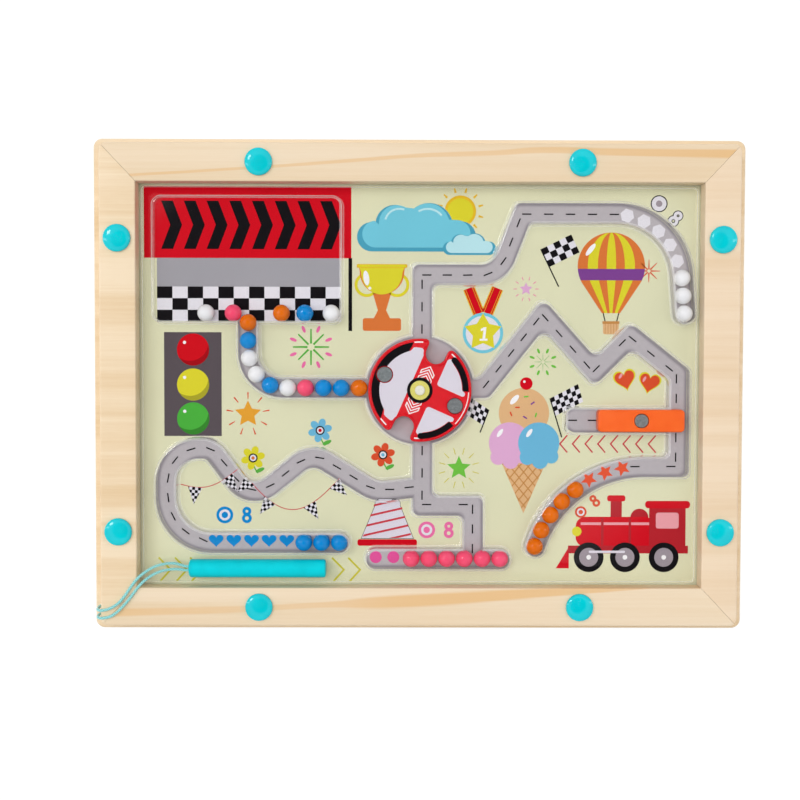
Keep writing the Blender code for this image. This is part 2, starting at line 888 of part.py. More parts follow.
def make_cord(name, route):
    """A limp cord through its route's points on one smooth curve."""
    ends = [Vector(p) for p in (route[0], *route, route[-1])]
    fine = []
    for a, b, c, d in zip(ends, ends[1:], ends[2:], ends[3:]):
        for i in range(cord_fine_steps):
            t = i / cord_fine_steps
            fine.append(0.5 * (
                2 * b + (c - a) * t + (2 * a - 5 * b + 4 * c - d) * t ** 2
                + (3 * b - a - 3 * c + d) * t ** 3
            ))
    fine.append(ends[-1])
    total = sum((b - a).length for a, b in zip(fine, fine[1:]))
    count = math.ceil(total / cord_point_step)
    curve = bpy.data.curves.new(name, "CURVE")
    curve.dimensions = "3D"
    curve.bevel_depth = cord_diameter / 2
    curve.bevel_resolution = cord_bevel_steps
    curve.use_fill_caps = True
    line = curve.splines.new("POLY")
    line.points.add(count)
    for i in range(count + 1):
        place = walk(fine, total * i / count)
        line.points[i].co = (*place, 1.0)
    cord = bpy.data.objects.new(name, curve)
    bpy.context.scene.collection.objects.link(cord)
    curve.materials.append(look(name, cord_blue, 0.8))
    return cord


def make_bead(name, place, colour, pivot=None):
    """A steel-cored bead. One that swings about a point has its origin there."""
    origin = pivot if pivot is not None else place
    shape = bmesh.new()
    bmesh.ops.create_uvsphere(
        shape, u_segments=bead_segments, v_segments=bead_rings, radius=bead_radius
    )
    bmesh.ops.translate(shape, verts=shape.verts, vec=(place.x - origin.x, place.y - origin.y, 0))
    mesh = bpy.data.meshes.new(name)
    shape.to_mesh(mesh)
    shape.free()
    mesh.shade_smooth()
    bead = bpy.data.objects.new(name, mesh)
    bpy.context.scene.collection.objects.link(bead)
    bead.location = (origin.x, origin.y, bead_height)
    return dress(bead, bead_colours[colour], 0.25)


def make_beads():
    chamber = on_window(chamber_place_share)
    floor = chamber.y - chamber_height / 2 + bead_radius + bead_wall_gap
    for number, share in enumerate(start_bead_shares, 1):
        place = Vector((chamber.x + share * chamber_length, floor))
        make_bead(f"bead_start_{number}", place, start_bead_colours[number - 1])

    points, _ = lane_side(queue_lane_shares, 0)
    hub = on_window(hub_place_share)
    lead = rotor_radius + seat_gap + bead_radius - (hub.x - points[-1].x)
    length = sum((b - a).length for a, b in zip(points, points[1:]))
    room = int((length - lead) / bead_pitch) + 1
    for number, colour in enumerate(queue_bead_colours[:room], 1):
        place = walk(points[::-1], lead + bead_pitch * (number - 1))
        make_bead(f"bead_queue_{number}", place, colour)

    for colour, corners in (
        ("blue", blue_lane_shares),
        ("pink", pink_lane_shares),
        ("white", white_lane_shares),
    ):
        points, _ = lane_side(corners, 0)
        for number in range(1, end_row_counts[colour] + 1):
            place = walk(points[::-1], bead_pitch * (number - 1))
            make_bead(f"bead_{colour}_{number}", place, colour)

    _, arcs = lane_side(orange_lane_shares, 0)
    middle, radius, end = arcs[-1]
    for number in range(1, end_row_counts["orange"] + 1):
        place = middle + swing(end - middle, -bead_pitch * (number - 1) / radius)
        make_bead(f"bead_orange_{number}", place, "orange", pivot=middle)


def main():
    clear_scene()
    end_y = window_height / 2 + rail_end_width / 2
    side_x = window_width / 2 + rail_side_width / 2
    end_x = rivet_end_share * window_width
    side_y = rivet_side_share * window_height
    rivet_places = [
        Vector((-end_x, end_y)),
        Vector((end_x, end_y)),
        Vector((side_x, side_y)),
        Vector((side_x, -side_y)),
        Vector((end_x, -end_y)),
        Vector((-end_x, -end_y)),
        Vector((-side_x, -side_y)),
        Vector((-side_x, side_y)),
    ]
    hole_x = -front_width / 2
    hole_y = -front_height / 2 + cord_hole_corner_gap + cord_diameter / 2
    hole_z = rail_bottom + cord_hole_height
    cord_holes = [
        (hole_x, hole_y + cord_hole_spacing, hole_z),
        (hole_x, hole_y, hole_z),
    ]
    make_back_board(rivet_places)
    make_rails(rivet_places, cord_holes)
    for number, place in enumerate(rivet_places, 1):
        make_rivet(number, place)
    make_printed_board()
    make_clear_cover()
    make_rotor()
    make_axle()
    make_slider()
    make_pen()
    make_cord("cord_strand_upper", cord_upper_route)
    make_cord("cord_strand_lower", cord_lower_route)
    make_beads()


main()
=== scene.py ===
import math
import random

import bmesh
import bpy
from mathutils import Matrix, Vector


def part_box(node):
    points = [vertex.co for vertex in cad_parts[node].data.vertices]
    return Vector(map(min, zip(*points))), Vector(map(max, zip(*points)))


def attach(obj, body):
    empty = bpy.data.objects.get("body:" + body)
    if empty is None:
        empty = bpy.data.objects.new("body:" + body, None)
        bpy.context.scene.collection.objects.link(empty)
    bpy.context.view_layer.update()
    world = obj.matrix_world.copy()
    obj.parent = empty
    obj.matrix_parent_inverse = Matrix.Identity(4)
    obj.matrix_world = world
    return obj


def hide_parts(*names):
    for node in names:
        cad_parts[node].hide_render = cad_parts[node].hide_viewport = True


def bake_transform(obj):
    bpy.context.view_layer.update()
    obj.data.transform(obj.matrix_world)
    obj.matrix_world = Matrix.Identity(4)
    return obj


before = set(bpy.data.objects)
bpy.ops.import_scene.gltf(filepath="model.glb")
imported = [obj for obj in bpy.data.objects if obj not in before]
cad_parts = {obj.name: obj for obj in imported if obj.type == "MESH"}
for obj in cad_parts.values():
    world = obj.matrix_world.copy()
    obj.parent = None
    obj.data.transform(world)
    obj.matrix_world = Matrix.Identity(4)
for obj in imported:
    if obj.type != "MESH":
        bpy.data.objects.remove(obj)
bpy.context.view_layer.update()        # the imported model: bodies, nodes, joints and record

# Magnetic maze board: pine frame, printed board, clear moulded cover, beads, gate rotor, slider and
# tethered pen. It lies on its back with X to the right of the picture and Y up it. Sizes in the
# dictionaries are millimetres.
mm = 0.001
print("frame loaded,", len(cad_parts), "nodes")

scene = bpy.context.scene
scene.view_settings.view_transform = "Standard"


# nodes, colours and objects

def linear(hexText):
    parts = [int(hexText[i:i + 2], 16) / 255 for i in (1, 3, 5)]
    return (*[p / 12.92 if p <= 0.04045 else ((p + 0.055) / 1.055) ** 2.4 for p in parts], 1.0)


def grey(level):
    return (level, level, level, 1)


def wire(tree, node, links):
    # joins each input to its source, which is an output or a node with its first output
    for socket, source in links.items():
        tree.links.new(source.outputs[0] if isinstance(source, bpy.types.Node) else source,
                       node.inputs[socket])


def addNode(tree, kind, settings={}, values={}, links={}):
    added = tree.nodes.new(kind)
    for name, value in settings.items():
        setattr(added, name, value)
    for socket, value in values.items():
        added.inputs[socket].default_value = value
    wire(tree, added, links)
    return added


def setStops(ramp, *stops):
    # a colour ramp's stops from low to high: place and colour
    elements = ramp.color_ramp.elements
    while len(elements) < len(stops):
        elements.new(0.5)
    for element, (spot, colour) in zip(elements, stops):
        element.position = spot
        element.color = colour


def startMaterial(name, sockets):
    # gives the material, its tree, its shader and the piece's own coordinates
    material = bpy.data.materials.new(name)
    material.use_nodes = True
    tree = material.node_tree
    shader = tree.nodes["Principled BSDF"]
    for socket, value in sockets.items():
        shader.inputs[socket].default_value = value
    return material, tree, shader, addNode(tree, "ShaderNodeTexCoord").outputs["Object"]


def addObject(name, data):
    made = bpy.data.objects.new(name, data)
    scene.collection.objects.link(made)
    return made


# camera, lamps, world and floor

photoView = {
    "place": (-0.0130627, 0.0151943, 0.5997726),
    "turn": (
        (0.9999739569, -0.0022240806, -0.0068657767),
        (0.0024763426, 0.9993138690, 0.0369548228),
        (0.0067788753, -0.0369708625, 0.9992933514),
    ),
    "lens": 57.84,
    "sensor": 36,
}
cameraData = bpy.data.cameras.new("camera")
cameraData.lens = photoView["lens"]
cameraData.sensor_width = photoView["sensor"]
camera = addObject("camera", cameraData)
camera.matrix_world = Matrix.Translation(photoView["place"]) @ Matrix(photoView["turn"]).to_4x4()
scene.camera = camera

studio = {
    "keyFrom": (-0.69, 0.43, 1.0),   # towards the key lamp, read from the shadows inside the frame
    "keyStrength": 0.45,
    "keyWidth": 0.24,                # radians across, for moderately soft shadows
    "topStrength": 1.46,             # wide lamp overhead, kept out of reflections
    "topFrom": (-0.10, 0.07, 1.0),
    "topWidth": 0.6,
    "skyStrength": 0.64,
    # brightness by height: a white horizon, and dark round the camera
    "sky": ((0.0, 1.57), (0.07, 1.57), (0.16, 0.45), (0.5, 0.68), (0.8, 1.0), (0.905, 1.0), (0.935, 0.03),
            (1.0, 0.0)),
    "stripPower": 1.0,
    "stripSize": (0.12, 0.9),
    "stripPlaces": ((-0.95, 0.05, 0.42), (0.95, 0.10, 0.42)),
}


def makeLights():
    for name in ("key", "top"):
        sunData = bpy.data.lights.new(name, "SUN")
        sunData.energy = studio[name + "Strength"]
        sunData.angle = studio[name + "Width"]
        sun = addObject(name, sunData)
        sun.matrix_world = Vector(studio[name + "From"]).to_track_quat("Z", "Y").to_matrix().to_4x4()
        sun.visible_glossy = name == "key"
    for side, place in zip(("left", "right"), studio["stripPlaces"]):
        stripData = bpy.data.lights.new("strip_" + side, "AREA")
        stripData.shape = "RECTANGLE"
        stripData.size, stripData.size_y = studio["stripSize"]
        stripData.energy = studio["stripPower"]
        turn = Vector(place).to_track_quat("Z", "Y").to_matrix().to_4x4()
        addObject("strip_" + side, stripData).matrix_world = Matrix.Translation(place) @ turn
    world = bpy.data.worlds.new("studio")
    world.use_nodes = True
    tree = world.node_tree
    way = addNode(tree, "ShaderNodeTexCoord")
    parts = addNode(tree, "ShaderNodeSeparateXYZ", links={"Vector": way.outputs["Generated"]})
    dome = addNode(tree, "ShaderNodeValToRGB", links={"Fac": parts.outputs["Z"]})
    setStops(dome, *[(height, grey(level)) for height, level in studio["sky"]])
    sky = tree.nodes["Background"]
    sky.inputs["Strength"].default_value = studio["skyStrength"]
    wire(tree, sky, {"Color": dome})
    scene.world = world


floorCard = {
    "half": 3000,       # half of its width
    "low": -0.2,
    "lit": 0.85,        # how light it is for the object
    "seen": 0.30,       # for the eye it is darker, and glows
    "glow": 0.74,
}


def makeFloor():
    half, low = floorCard["half"] * mm, floorCard["low"] * mm
    mesh = bpy.data.meshes.new("floor")
    mesh.from_pydata([(-half, -half, low), (half, -half, low), (half, half, low), (-half, half, low)],
                     [], [(0, 1, 2, 3)])
    floor = addObject("floor", mesh)
    # white card: mostly lit by its own glow for the eye, so that only a faint shadow stays on it
    material = bpy.data.materials.new("white studio card")
    material.use_nodes = True
    tree = material.node_tree
    tree.nodes.clear()
    card = addNode(tree, "ShaderNodeBsdfDiffuse", values={"Color": grey(floorCard["lit"])})
    pale = addNode(tree, "ShaderNodeBsdfDiffuse", values={"Color": grey(floorCard["seen"])})
    glow = addNode(tree, "ShaderNodeEmission", values={"Color": grey(1), "Strength": floorCard["glow"]})
    both = addNode(tree, "ShaderNodeAddShader", links={0: pale, 1: glow})
    path = addNode(tree, "ShaderNodeLightPath").outputs
    seen = addNode(tree, "ShaderNodeMath", {"operation": "MAXIMUM"},
                   links={0: path["Is Camera Ray"], 1: path["Is Glossy Ray"]})
    seenToo = addNode(tree, "ShaderNodeMath", {"operation": "MAXIMUM"},
                      links={0: seen, 1: path["Is Transmission Ray"]})
    mix = addNode(tree, "ShaderNodeMixShader", links={0: seenToo, 1: card, 2: both})
    addNode(tree, "ShaderNodeOutputMaterial", links={"Surface": mix})
    mesh.materials.append(material)


makeLights()
makeFloor()
print("camera, lamps and floor done")


# shapes: outlines, profiles, heights and places are in millimetres

def meshPiece(name, points, faces, smooth=None, unit=mm):
    # a piece from points and faces, with its faces turned outwards
    mesh = bpy.data.meshes.new(name)
    mesh.from_pydata([(x * unit, y * unit, z * unit) for x, y, z in points], [], faces)
    shape = bmesh.new()
    shape.from_mesh(mesh)
    bmesh.ops.recalc_face_normals(shape, faces=shape.faces)
    shape.to_mesh(mesh)
    shape.free()
    piece = addObject(name, mesh)
    if smooth is not None:
        smoothBy(piece, smooth)
    return piece


def smoothBy(piece, degrees):
    piece.data.shade_smooth()
    piece.data.set_sharp_from_angle(angle=math.radians(degrees))


def stacked(name, levels, smooth=None):
    # a solid through outlines of equal length, each at its own height
    points = [(x, y, z) for outline, z in levels for x, y in outline]
    count = len(levels[0][0])
    faces = [list(range(count)), list(range(len(points) - count, len(points)))]
    for level in range(len(levels) - 1):
        low = level * count
        high = low + count
        for i in range(count):
            j = (i + 1) % count
            faces.append([low + i, low + j, high + j, high + i])
    return meshPiece(name, points, faces, smooth)


def prism(name, outline, low, high):
    return stacked(name, [(outline, low), (outline, high)])


def turned(name, profile, segments, place=(0, 0, 0), axis="Z", smooth=40):
    # a solid turned about an axis through place, from radius and height pairs
    points, rings = [], []
    for radius, height in profile:
        if radius == 0:
            rings.append([len(points)] * segments)
            points.append((0, 0, height))
            continue
        rings.append(list(range(len(points), len(points) + segments)))
        for i in range(segments):
            angle = 2 * math.pi * i / segments
            points.append((radius * math.cos(angle), radius * math.sin(angle), height))
    pairs = list(zip(rings, rings[1:]))
    if profile[0][0] > 0 and profile[-1][0] > 0:
        pairs.append((rings[-1], rings[0]))
    faces = []
    for low, high in pairs:
        for i in range(segments):
            j = (i + 1) % segments
            faces.append(list(dict.fromkeys([low[i], low[j], high[j], high[i]])))
    if axis == "X":
        points = [(z, y, -x) for x, y, z in points]
    points = [(x + place[0], y + place[1], z + place[2]) for x, y, z in points]
    return meshPiece(name, points, faces, smooth)


def applied(piece):
    # the evaluated shape as a plain mesh
    bpy.context.view_layer.update()
    baked = bpy.data.meshes.new_from_object(piece.evaluated_get(bpy.context.evaluated_depsgraph_get()))
    piece.modifiers.clear()
    piece.data = baked
    return piece


def carve(piece, operation, shapes, solver="EXACT"):
    group = bpy.data.collections.new(piece.name + "_shapes")
    scene.collection.children.link(group)
    for shape in shapes:
        scene.collection.objects.unlink(shape)
        group.objects.link(shape)
    step = piece.modifiers.new("carve", "BOOLEAN")
    step.operation = operation
    step.operand_type = "COLLECTION"
    step.collection = group
    step.solver = solver
    applied(piece)
    for shape in shapes:
        bpy.data.objects.remove(shape, do_unlink=True)
    bpy.data.collections.remove(group)
    return piece


def circle(radius, centre=(0, 0), steps=48):
    turns = [2 * math.pi * i / steps for i in range(steps)]
    return [(centre[0] + radius * math.cos(t), centre[1] + radius * math.sin(t)) for t in turns]


def roundedBox(width, height, radius, centre=(0, 0), steps=10):
    outline = []
    for quarter, (sideX, sideY) in enumerate(((1, 1), (-1, 1), (-1, -1), (1, -1))):
        x = centre[0] + sideX * (width / 2 - radius)
        y = centre[1] + sideY * (height / 2 - radius)
        for i in range(steps + 1):
            angle = math.pi / 2 * (quarter + i / steps)
            outline.append((x + radius * math.cos(angle), y + radius * math.sin(angle)))
    return outline


def grownBox(grow, width, height, radius, centre=(0, 0), steps=10):
    # a rounded box with every side moved out by the same distance
    leastRadius = 0.3
    return roundedBox(width + 2 * grow, height + 2 * grow, max(leastRadius, radius + grow), centre, steps)


def roundedEdge(radius, top, steps=5):
    # a quarter round that ends at a height: how far it stands in, and its height, from the side to the top
    turns = [math.pi / 2 * k / steps for k in range(steps + 1)]
    return [(radius * (1 - math.cos(t)), top - radius + radius * math.sin(t)) for t in turns]


def paint(piece, material):
    piece.data.materials.clear()
    piece.data.materials.append(material)


def settle(piece, body, slot, *nodes):
    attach(piece, body)
    if nodes:
        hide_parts(*nodes)
    return piece


def dress(piece, material, body, slot, *nodes):
    paint(piece, material)
    return settle(piece, body, slot, *nodes)


# main sizes, the same as the model's

board = {
    "window": (257, 184),
    "rails": (16.5, 17.5),        # width of the two side rails and of the two end rails
    "railLow": 5.3,
    "railTop": 18.0,
    "printTop": 7.8,
    "flangeLow": 8.1,
    "flangeTop": 8.9,
    "ceiling": 16.3,
    "tunnelTop": 17.1,
    "wall": 0.8,
    "lane": 9.2,
    "hub": (0.0, -2.024),
}
windowX, windowY = board["window"]
hubX, hubY = board["hub"]

# lane centrelines: shares of the window's width and height, then the corner's radius in millimetres
laneCorners = {
    "queue": [(-0.305, 0.217, 0), (-0.305, -0.006, 16), (0.0, -0.006, 0)],
    "white": [(0.004, -0.011, 0), (0.004, 0.276, 3.0), (0.140, 0.276, 12), (0.182, 0.428, 3.0),
              (0.4565, 0.428, 30), (0.470, 0.1805, 0)],
    "orange": [(0.0, -0.006, 0), (0.114, -0.006, 4.0), (0.219, 0.179, 4.0), (0.311, 0.035, 4.0),
               (0.375, 0.125, 4.0), (0.461, 0.030, 4.0), (0.461, -0.202, 3.0), (0.251, -0.202, 52.4),
               (0.206, -0.401, 0)],
    "down": [(0.005, -0.011, 0), (0.005, -0.299, 3.0), (0.096, -0.299, 3.0), (0.096, -0.432, 0)],
    "pink": [(-0.078, -0.432, 0), (0.144, -0.432, 0)],
    "blue": [(0.005, -0.252, 0), (-0.078, -0.265, 15), (-0.192, -0.167, 11), (-0.300, -0.289, 11),
             (-0.370, -0.158, 8), (-0.451, -0.158, 14.8), (-0.451, -0.392, 21), (-0.143, -0.392, 0)],
}


def swing(arm, angle):
    c, s = math.cos(angle), math.sin(angle)
    return Vector((arm.x * c - arm.y * s, arm.x * s + arm.y * c))


def laneSide(corners, side):
    # a lane's line at a distance to the left of its centreline, with each corner rounded, in millimetres
    leastRadius = 0.4
    places = [Vector((x * windowX, y * windowY)) for x, y, radius in corners]
    ways = [(b - a).normalized() for a, b in zip(places, places[1:])]
    lefts = [Vector((-w.y, w.x)) for w in ways]
    shifted, turns, trims = [places[0] + lefts[0] * side], [0.0], [0.0]
    for i in range(1, len(places) - 1):
        both = lefts[i - 1] + lefts[i]
        shifted.append(places[i] + both * side / (1 + lefts[i - 1].dot(lefts[i])))
        turns.append(math.atan2(ways[i - 1].cross(ways[i]), ways[i - 1].dot(ways[i])))
        radius = corners[i][2]
        if radius > board["lane"] / 2:   # a sharp corner has one radius on both of its walls
            radius = max(radius - side * math.copysign(1, turns[i]), leastRadius)
        trims.append(radius * math.tan(abs(turns[i]) / 2))
    shifted.append(places[-1] + lefts[-1] * side)
    trims.append(0.0)
    for i in range(len(places) - 1):
        room = (shifted[i + 1] - shifted[i]).length
        wanted = trims[i] + trims[i + 1]
        if wanted > room:
            trims[i] *= room / wanted
            trims[i + 1] *= room / wanted
    points = [shifted[0]]
    for i in range(1, len(places) - 1):
        start = shifted[i] - ways[i - 1] * trims[i]
        size = abs(turns[i])
        radius = trims[i] / math.tan(size / 2)
        middle = start + lefts[i - 1] * math.copysign(radius, turns[i])
        steps = max(4, math.ceil(math.degrees(size) / 9), math.ceil(corners[i][2] * size / 2.5))
        for k in range(steps + 1):
            points.append(middle + swing(start - middle, turns[i] * k / steps))
    points.append(shifted[-1])
    return points


def laneOutline(name, halfWidth, endSteps=14):
    # both sides of a lane, joined by a half round at each end
    left, middle, right = [laneSide(laneCorners[name], side) for side in (halfWidth, 0, -halfWidth)]

    def halfRound(tip, rim):
        return [tip + swing(rim - tip, -math.pi * k / endSteps) for k in range(1, endSteps)]

    outline = left + halfRound(middle[-1], left[-1]) + right[::-1] + halfRound(middle[0], right[0])
    return [(p.x, p.y) for p in outline]


def walk(points, distance):
    # the point at a distance along a line
    for a, b in zip(points, points[1:]):
        step = (b - a).length
        if distance <= step and step > 0:
            return a + (b - a) * (distance / step)
        distance -= step
    return points[-1]


# cord: two braided strands from two holes in the frame's side to the pen's tail

cordSizes = {
    "diameter": 1.3,
    "braidPitch": 1.7,      # one turn of a yarn round the cord
    "braidDepth": 0.10,
    "yarns": 4,             # yarns that run each way
    "step": 0.13,
    "sides": 24,
}
# points along each strand, in metres, the same as in the model
cordRoutes = {
    "upper": [
        (-0.1433, -0.10165, 0.0095), (-0.1450, -0.10165, 0.0095), (-0.1462, -0.1017, 0.0100),
        (-0.1468, -0.1018, 0.0115), (-0.1469, -0.1020, 0.0140), (-0.1467, -0.1022, 0.0165),
        (-0.1457, -0.1023, 0.0184), (-0.1437, -0.1022, 0.0190), (-0.1405, -0.1013, 0.0190),
        (-0.1370, -0.0991, 0.0190), (-0.1342, -0.0960, 0.0190), (-0.1319, -0.0927, 0.0190),
        (-0.1297, -0.0896, 0.0190), (-0.1272, -0.0868, 0.0187), (-0.1240, -0.0844, 0.0180),
        (-0.1205, -0.0825, 0.0171), (-0.1165, -0.0815, 0.0158), (-0.1125, -0.0814, 0.0144),
        (-0.1090, -0.0823, 0.0136), (-0.1073, -0.0829, 0.0134), (-0.1058, -0.0829, 0.0134),
    ],
    "lower": [
        (-0.1433, -0.10525, 0.0095), (-0.1450, -0.10525, 0.0095), (-0.1462, -0.1053, 0.0100),
        (-0.1468, -0.1054, 0.0115), (-0.1469, -0.1055, 0.0140), (-0.1466, -0.1057, 0.0166),
        (-0.1455, -0.1058, 0.0184), (-0.1434, -0.1057, 0.0190), (-0.1403, -0.1049, 0.0190),
        (-0.1372, -0.1028, 0.0190), (-0.1345, -0.1001, 0.0190), (-0.1320, -0.0972, 0.0190),
        (-0.1297, -0.0941, 0.0190), (-0.1274, -0.0911, 0.0188), (-0.1246, -0.0884, 0.0182),
        (-0.1210, -0.0860, 0.0173), (-0.1168, -0.0845, 0.0159), (-0.1125, -0.0841, 0.0145),
        (-0.1092, -0.0844, 0.0137), (-0.1073, -0.0847, 0.0134), (-0.1058, -0.0847, 0.0134),
    ],
}


def smoothPath(route, step):
    # evenly spaced points on one smooth curve through the route's points
    ends = [Vector(p) for p in (route[0], *route, route[-1])]
    fine = []
    for a, b, c, d in zip(ends, ends[1:], ends[2:], ends[3:]):
        for i in range(40):
            t = i / 40
            fine.append(0.5 * (2 * b + (c - a) * t + (2 * a - 5 * b + 4 * c - d) * t ** 2
                               + (3 * b - a - 3 * c + d) * t ** 3))
    fine.append(ends[-1])
    total = sum((b - a).length for a, b in zip(fine, fine[1:]))
    count = math.ceil(total / step)
    even, reached, k = [], 0.0, 0
    for i in range(count + 1):
        wanted = total * i / count
        while k < len(fine) - 2 and reached + (fine[k + 1] - fine[k]).length < wanted:
            reached += (fine[k + 1] - fine[k]).length
            k += 1
        span = (fine[k + 1] - fine[k]).length
        even.append(fine[k] + (fine[k + 1] - fine[k]) * min(1, max(0, (wanted - reached) / span)))
    return even, total


def braidedCord(name, route):
    size = cordSizes
    path, total = smoothPath(route, size["step"] * mm)
    sides, rings = size["sides"], len(path)
    radius, depth = size["diameter"] / 2 * mm, size["braidDepth"] * mm
    across = Vector((0, 0, 1)).cross(path[1] - path[0]).normalized()
    points, places = [], []
    for i, middle in enumerate(path):
        way = (path[min(i + 1, rings - 1)] - path[max(i - 1, 0)]).normalized()
        across = (across - way * across.dot(way)).normalized()
        up = way.cross(across)
        along = total * i / (rings - 1)
        turn = 2 * math.pi * along / (size["braidPitch"] * mm)
        for k in range(sides):
            angle = 2 * math.pi * k / sides
            one = 0.5 + 0.5 * math.cos(size["yarns"] * angle + turn)
            other = 0.5 + 0.5 * math.cos(size["yarns"] * angle - turn)
            reach = radius - depth * (1 - max(one, other))
            points.append(middle + across * (reach * math.cos(angle)) + up * (reach * math.sin(angle)))
            places.append((along / mm, k / sides))
    faces = []
    for i in range(rings - 1):
        for k in range(sides):
            j = (k + 1) % sides
            faces.append([i * sides + k, i * sides + j, (i + 1) * sides + j, (i + 1) * sides + k])
    faces += [list(range(sides)), list(range((rings - 1) * sides, rings * sides))]
    cord = meshPiece(name, points, faces, 60, unit=1)
    layer = cord.data.uv_layers.new(name="braid")
    for face in cord.data.polygons:
        for loop in face.loop_indices:
            u, v = places[cord.data.loops[loop].vertex_index]
            if v == 0 and face.index < len(faces) - 2 and face.index % sides == sides - 1:
                v = 1.0
            layer.data[loop].uv = (u, v)
    return cord, path


def cordMaterial():
    # polyester yarn, braided: matt and slightly fuzzy, with painted shade darkening the grooves between the
    # yarns
    material, tree, shader, here = startMaterial("braided polyester yarn", {
        "Roughness": 0.75, "Sheen Weight": 0.4, "Sheen Roughness": 0.5})
    uv = addNode(tree, "ShaderNodeUVMap", {"uv_map": "braid"})
    parts = addNode(tree, "ShaderNodeSeparateXYZ", links={"Vector": uv})
    along = addNode(tree, "ShaderNodeMath", {"operation": "MULTIPLY"},
                    {1: 2 * math.pi / cordSizes["braidPitch"]}, {0: parts.outputs["X"]})
    around = addNode(tree, "ShaderNodeMath", {"operation": "MULTIPLY"},
                     {1: 2 * math.pi * cordSizes["yarns"]}, {0: parts.outputs["Y"]})
    waves = []
    for operation in ("ADD", "SUBTRACT"):
        phase = addNode(tree, "ShaderNodeMath", {"operation": operation}, links={0: around, 1: along})
        waves.append(addNode(tree, "ShaderNodeMath", {"operation": "COSINE"}, links={0: phase}))
    # light on the braid's ridges, dark in its grooves: painted shade in the grooves
    ridgeAndGrooveShade = addNode(tree, "ShaderNodeMath", {"operation": "MAXIMUM"}, links={0: waves[0], 1: waves[1]})
    # fuzz of about 0.1 mm
    fuzz = addNode(tree, "ShaderNodeTexNoise", values={"Scale": 9000.0, "Detail": 3.0},
                   links={"Vector": here})
    both = addNode(tree, "ShaderNodeMath", {"operation": "MULTIPLY_ADD"}, {1: 0.35}, {0: ridgeAndGrooveShade, 2: fuzz})
    ramp = addNode(tree, "ShaderNodeValToRGB", links={"Fac": both})
    setStops(ramp, (0.25, linear("#4FA9AC")), (0.75, linear("#9ADFDE")))
    bump = addNode(tree, "ShaderNodeBump", values={"Strength": 0.4, "Distance": 0.04 * mm},
                   links={"Height": fuzz})
    wire(tree, shader, {"Base Color": ramp, "Normal": bump})
    return material


yarn = cordMaterial()
for side, route in cordRoutes.items():
    strand, path = braidedCord("cordStrand_" + side, route)
    strand.data.materials.append(yarn)
    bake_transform(strand)
    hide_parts("cord_strand_" + side)
print("cord done")

# pine frame and back board

rail = {
    "cornerRadius": 3.5,
    "bevel": 0.3,           # along the frame's foot
    "outerRound": 1.0,
    "innerRound": 0.7,
    "innerCorner": 0.4,
    "mitreGap": 0.10,
    "rabbet": 4.3,
    "rabbetTop": 9.2,
    "rabbetCorner": 1.8,
    "boreRadius": 2.8,
    "cutters": (3, 20),     # they reach from below the rails to above them
    "holeRadius": 0.95,
    "holeSpan": (-2.0, 2.0),
    "holes": ((-145, -101.65, 9.5), (-145, -105.25, 9.5)),
}
rivetPlaces = [(sx * 0.284 * windowX, sy * 100.75) for sx in (-1, 1) for sy in (-1, 1)]
rivetPlaces += [(sx * 136.75, sy * 0.361 * windowY) for sx in (-1, 1) for sy in (-1, 1)]


# fibres 1 mm wide, growth bands 9 to 17 mm wide and pores 0.4 mm wide, each far longer along the grain
woodGrain = {
    "fibre": ((12, 900, 900), {"Scale": 1.0, "Detail": 4.0, "Roughness": 0.6}),
    "band": ((3.0, 110, 60), {"Scale": 1.0, "Detail": 2.0, "Distortion": 0.4}),
    "pore": ((160, 2600, 2600), {"Scale": 1.0, "Detail": 2.0}),
}


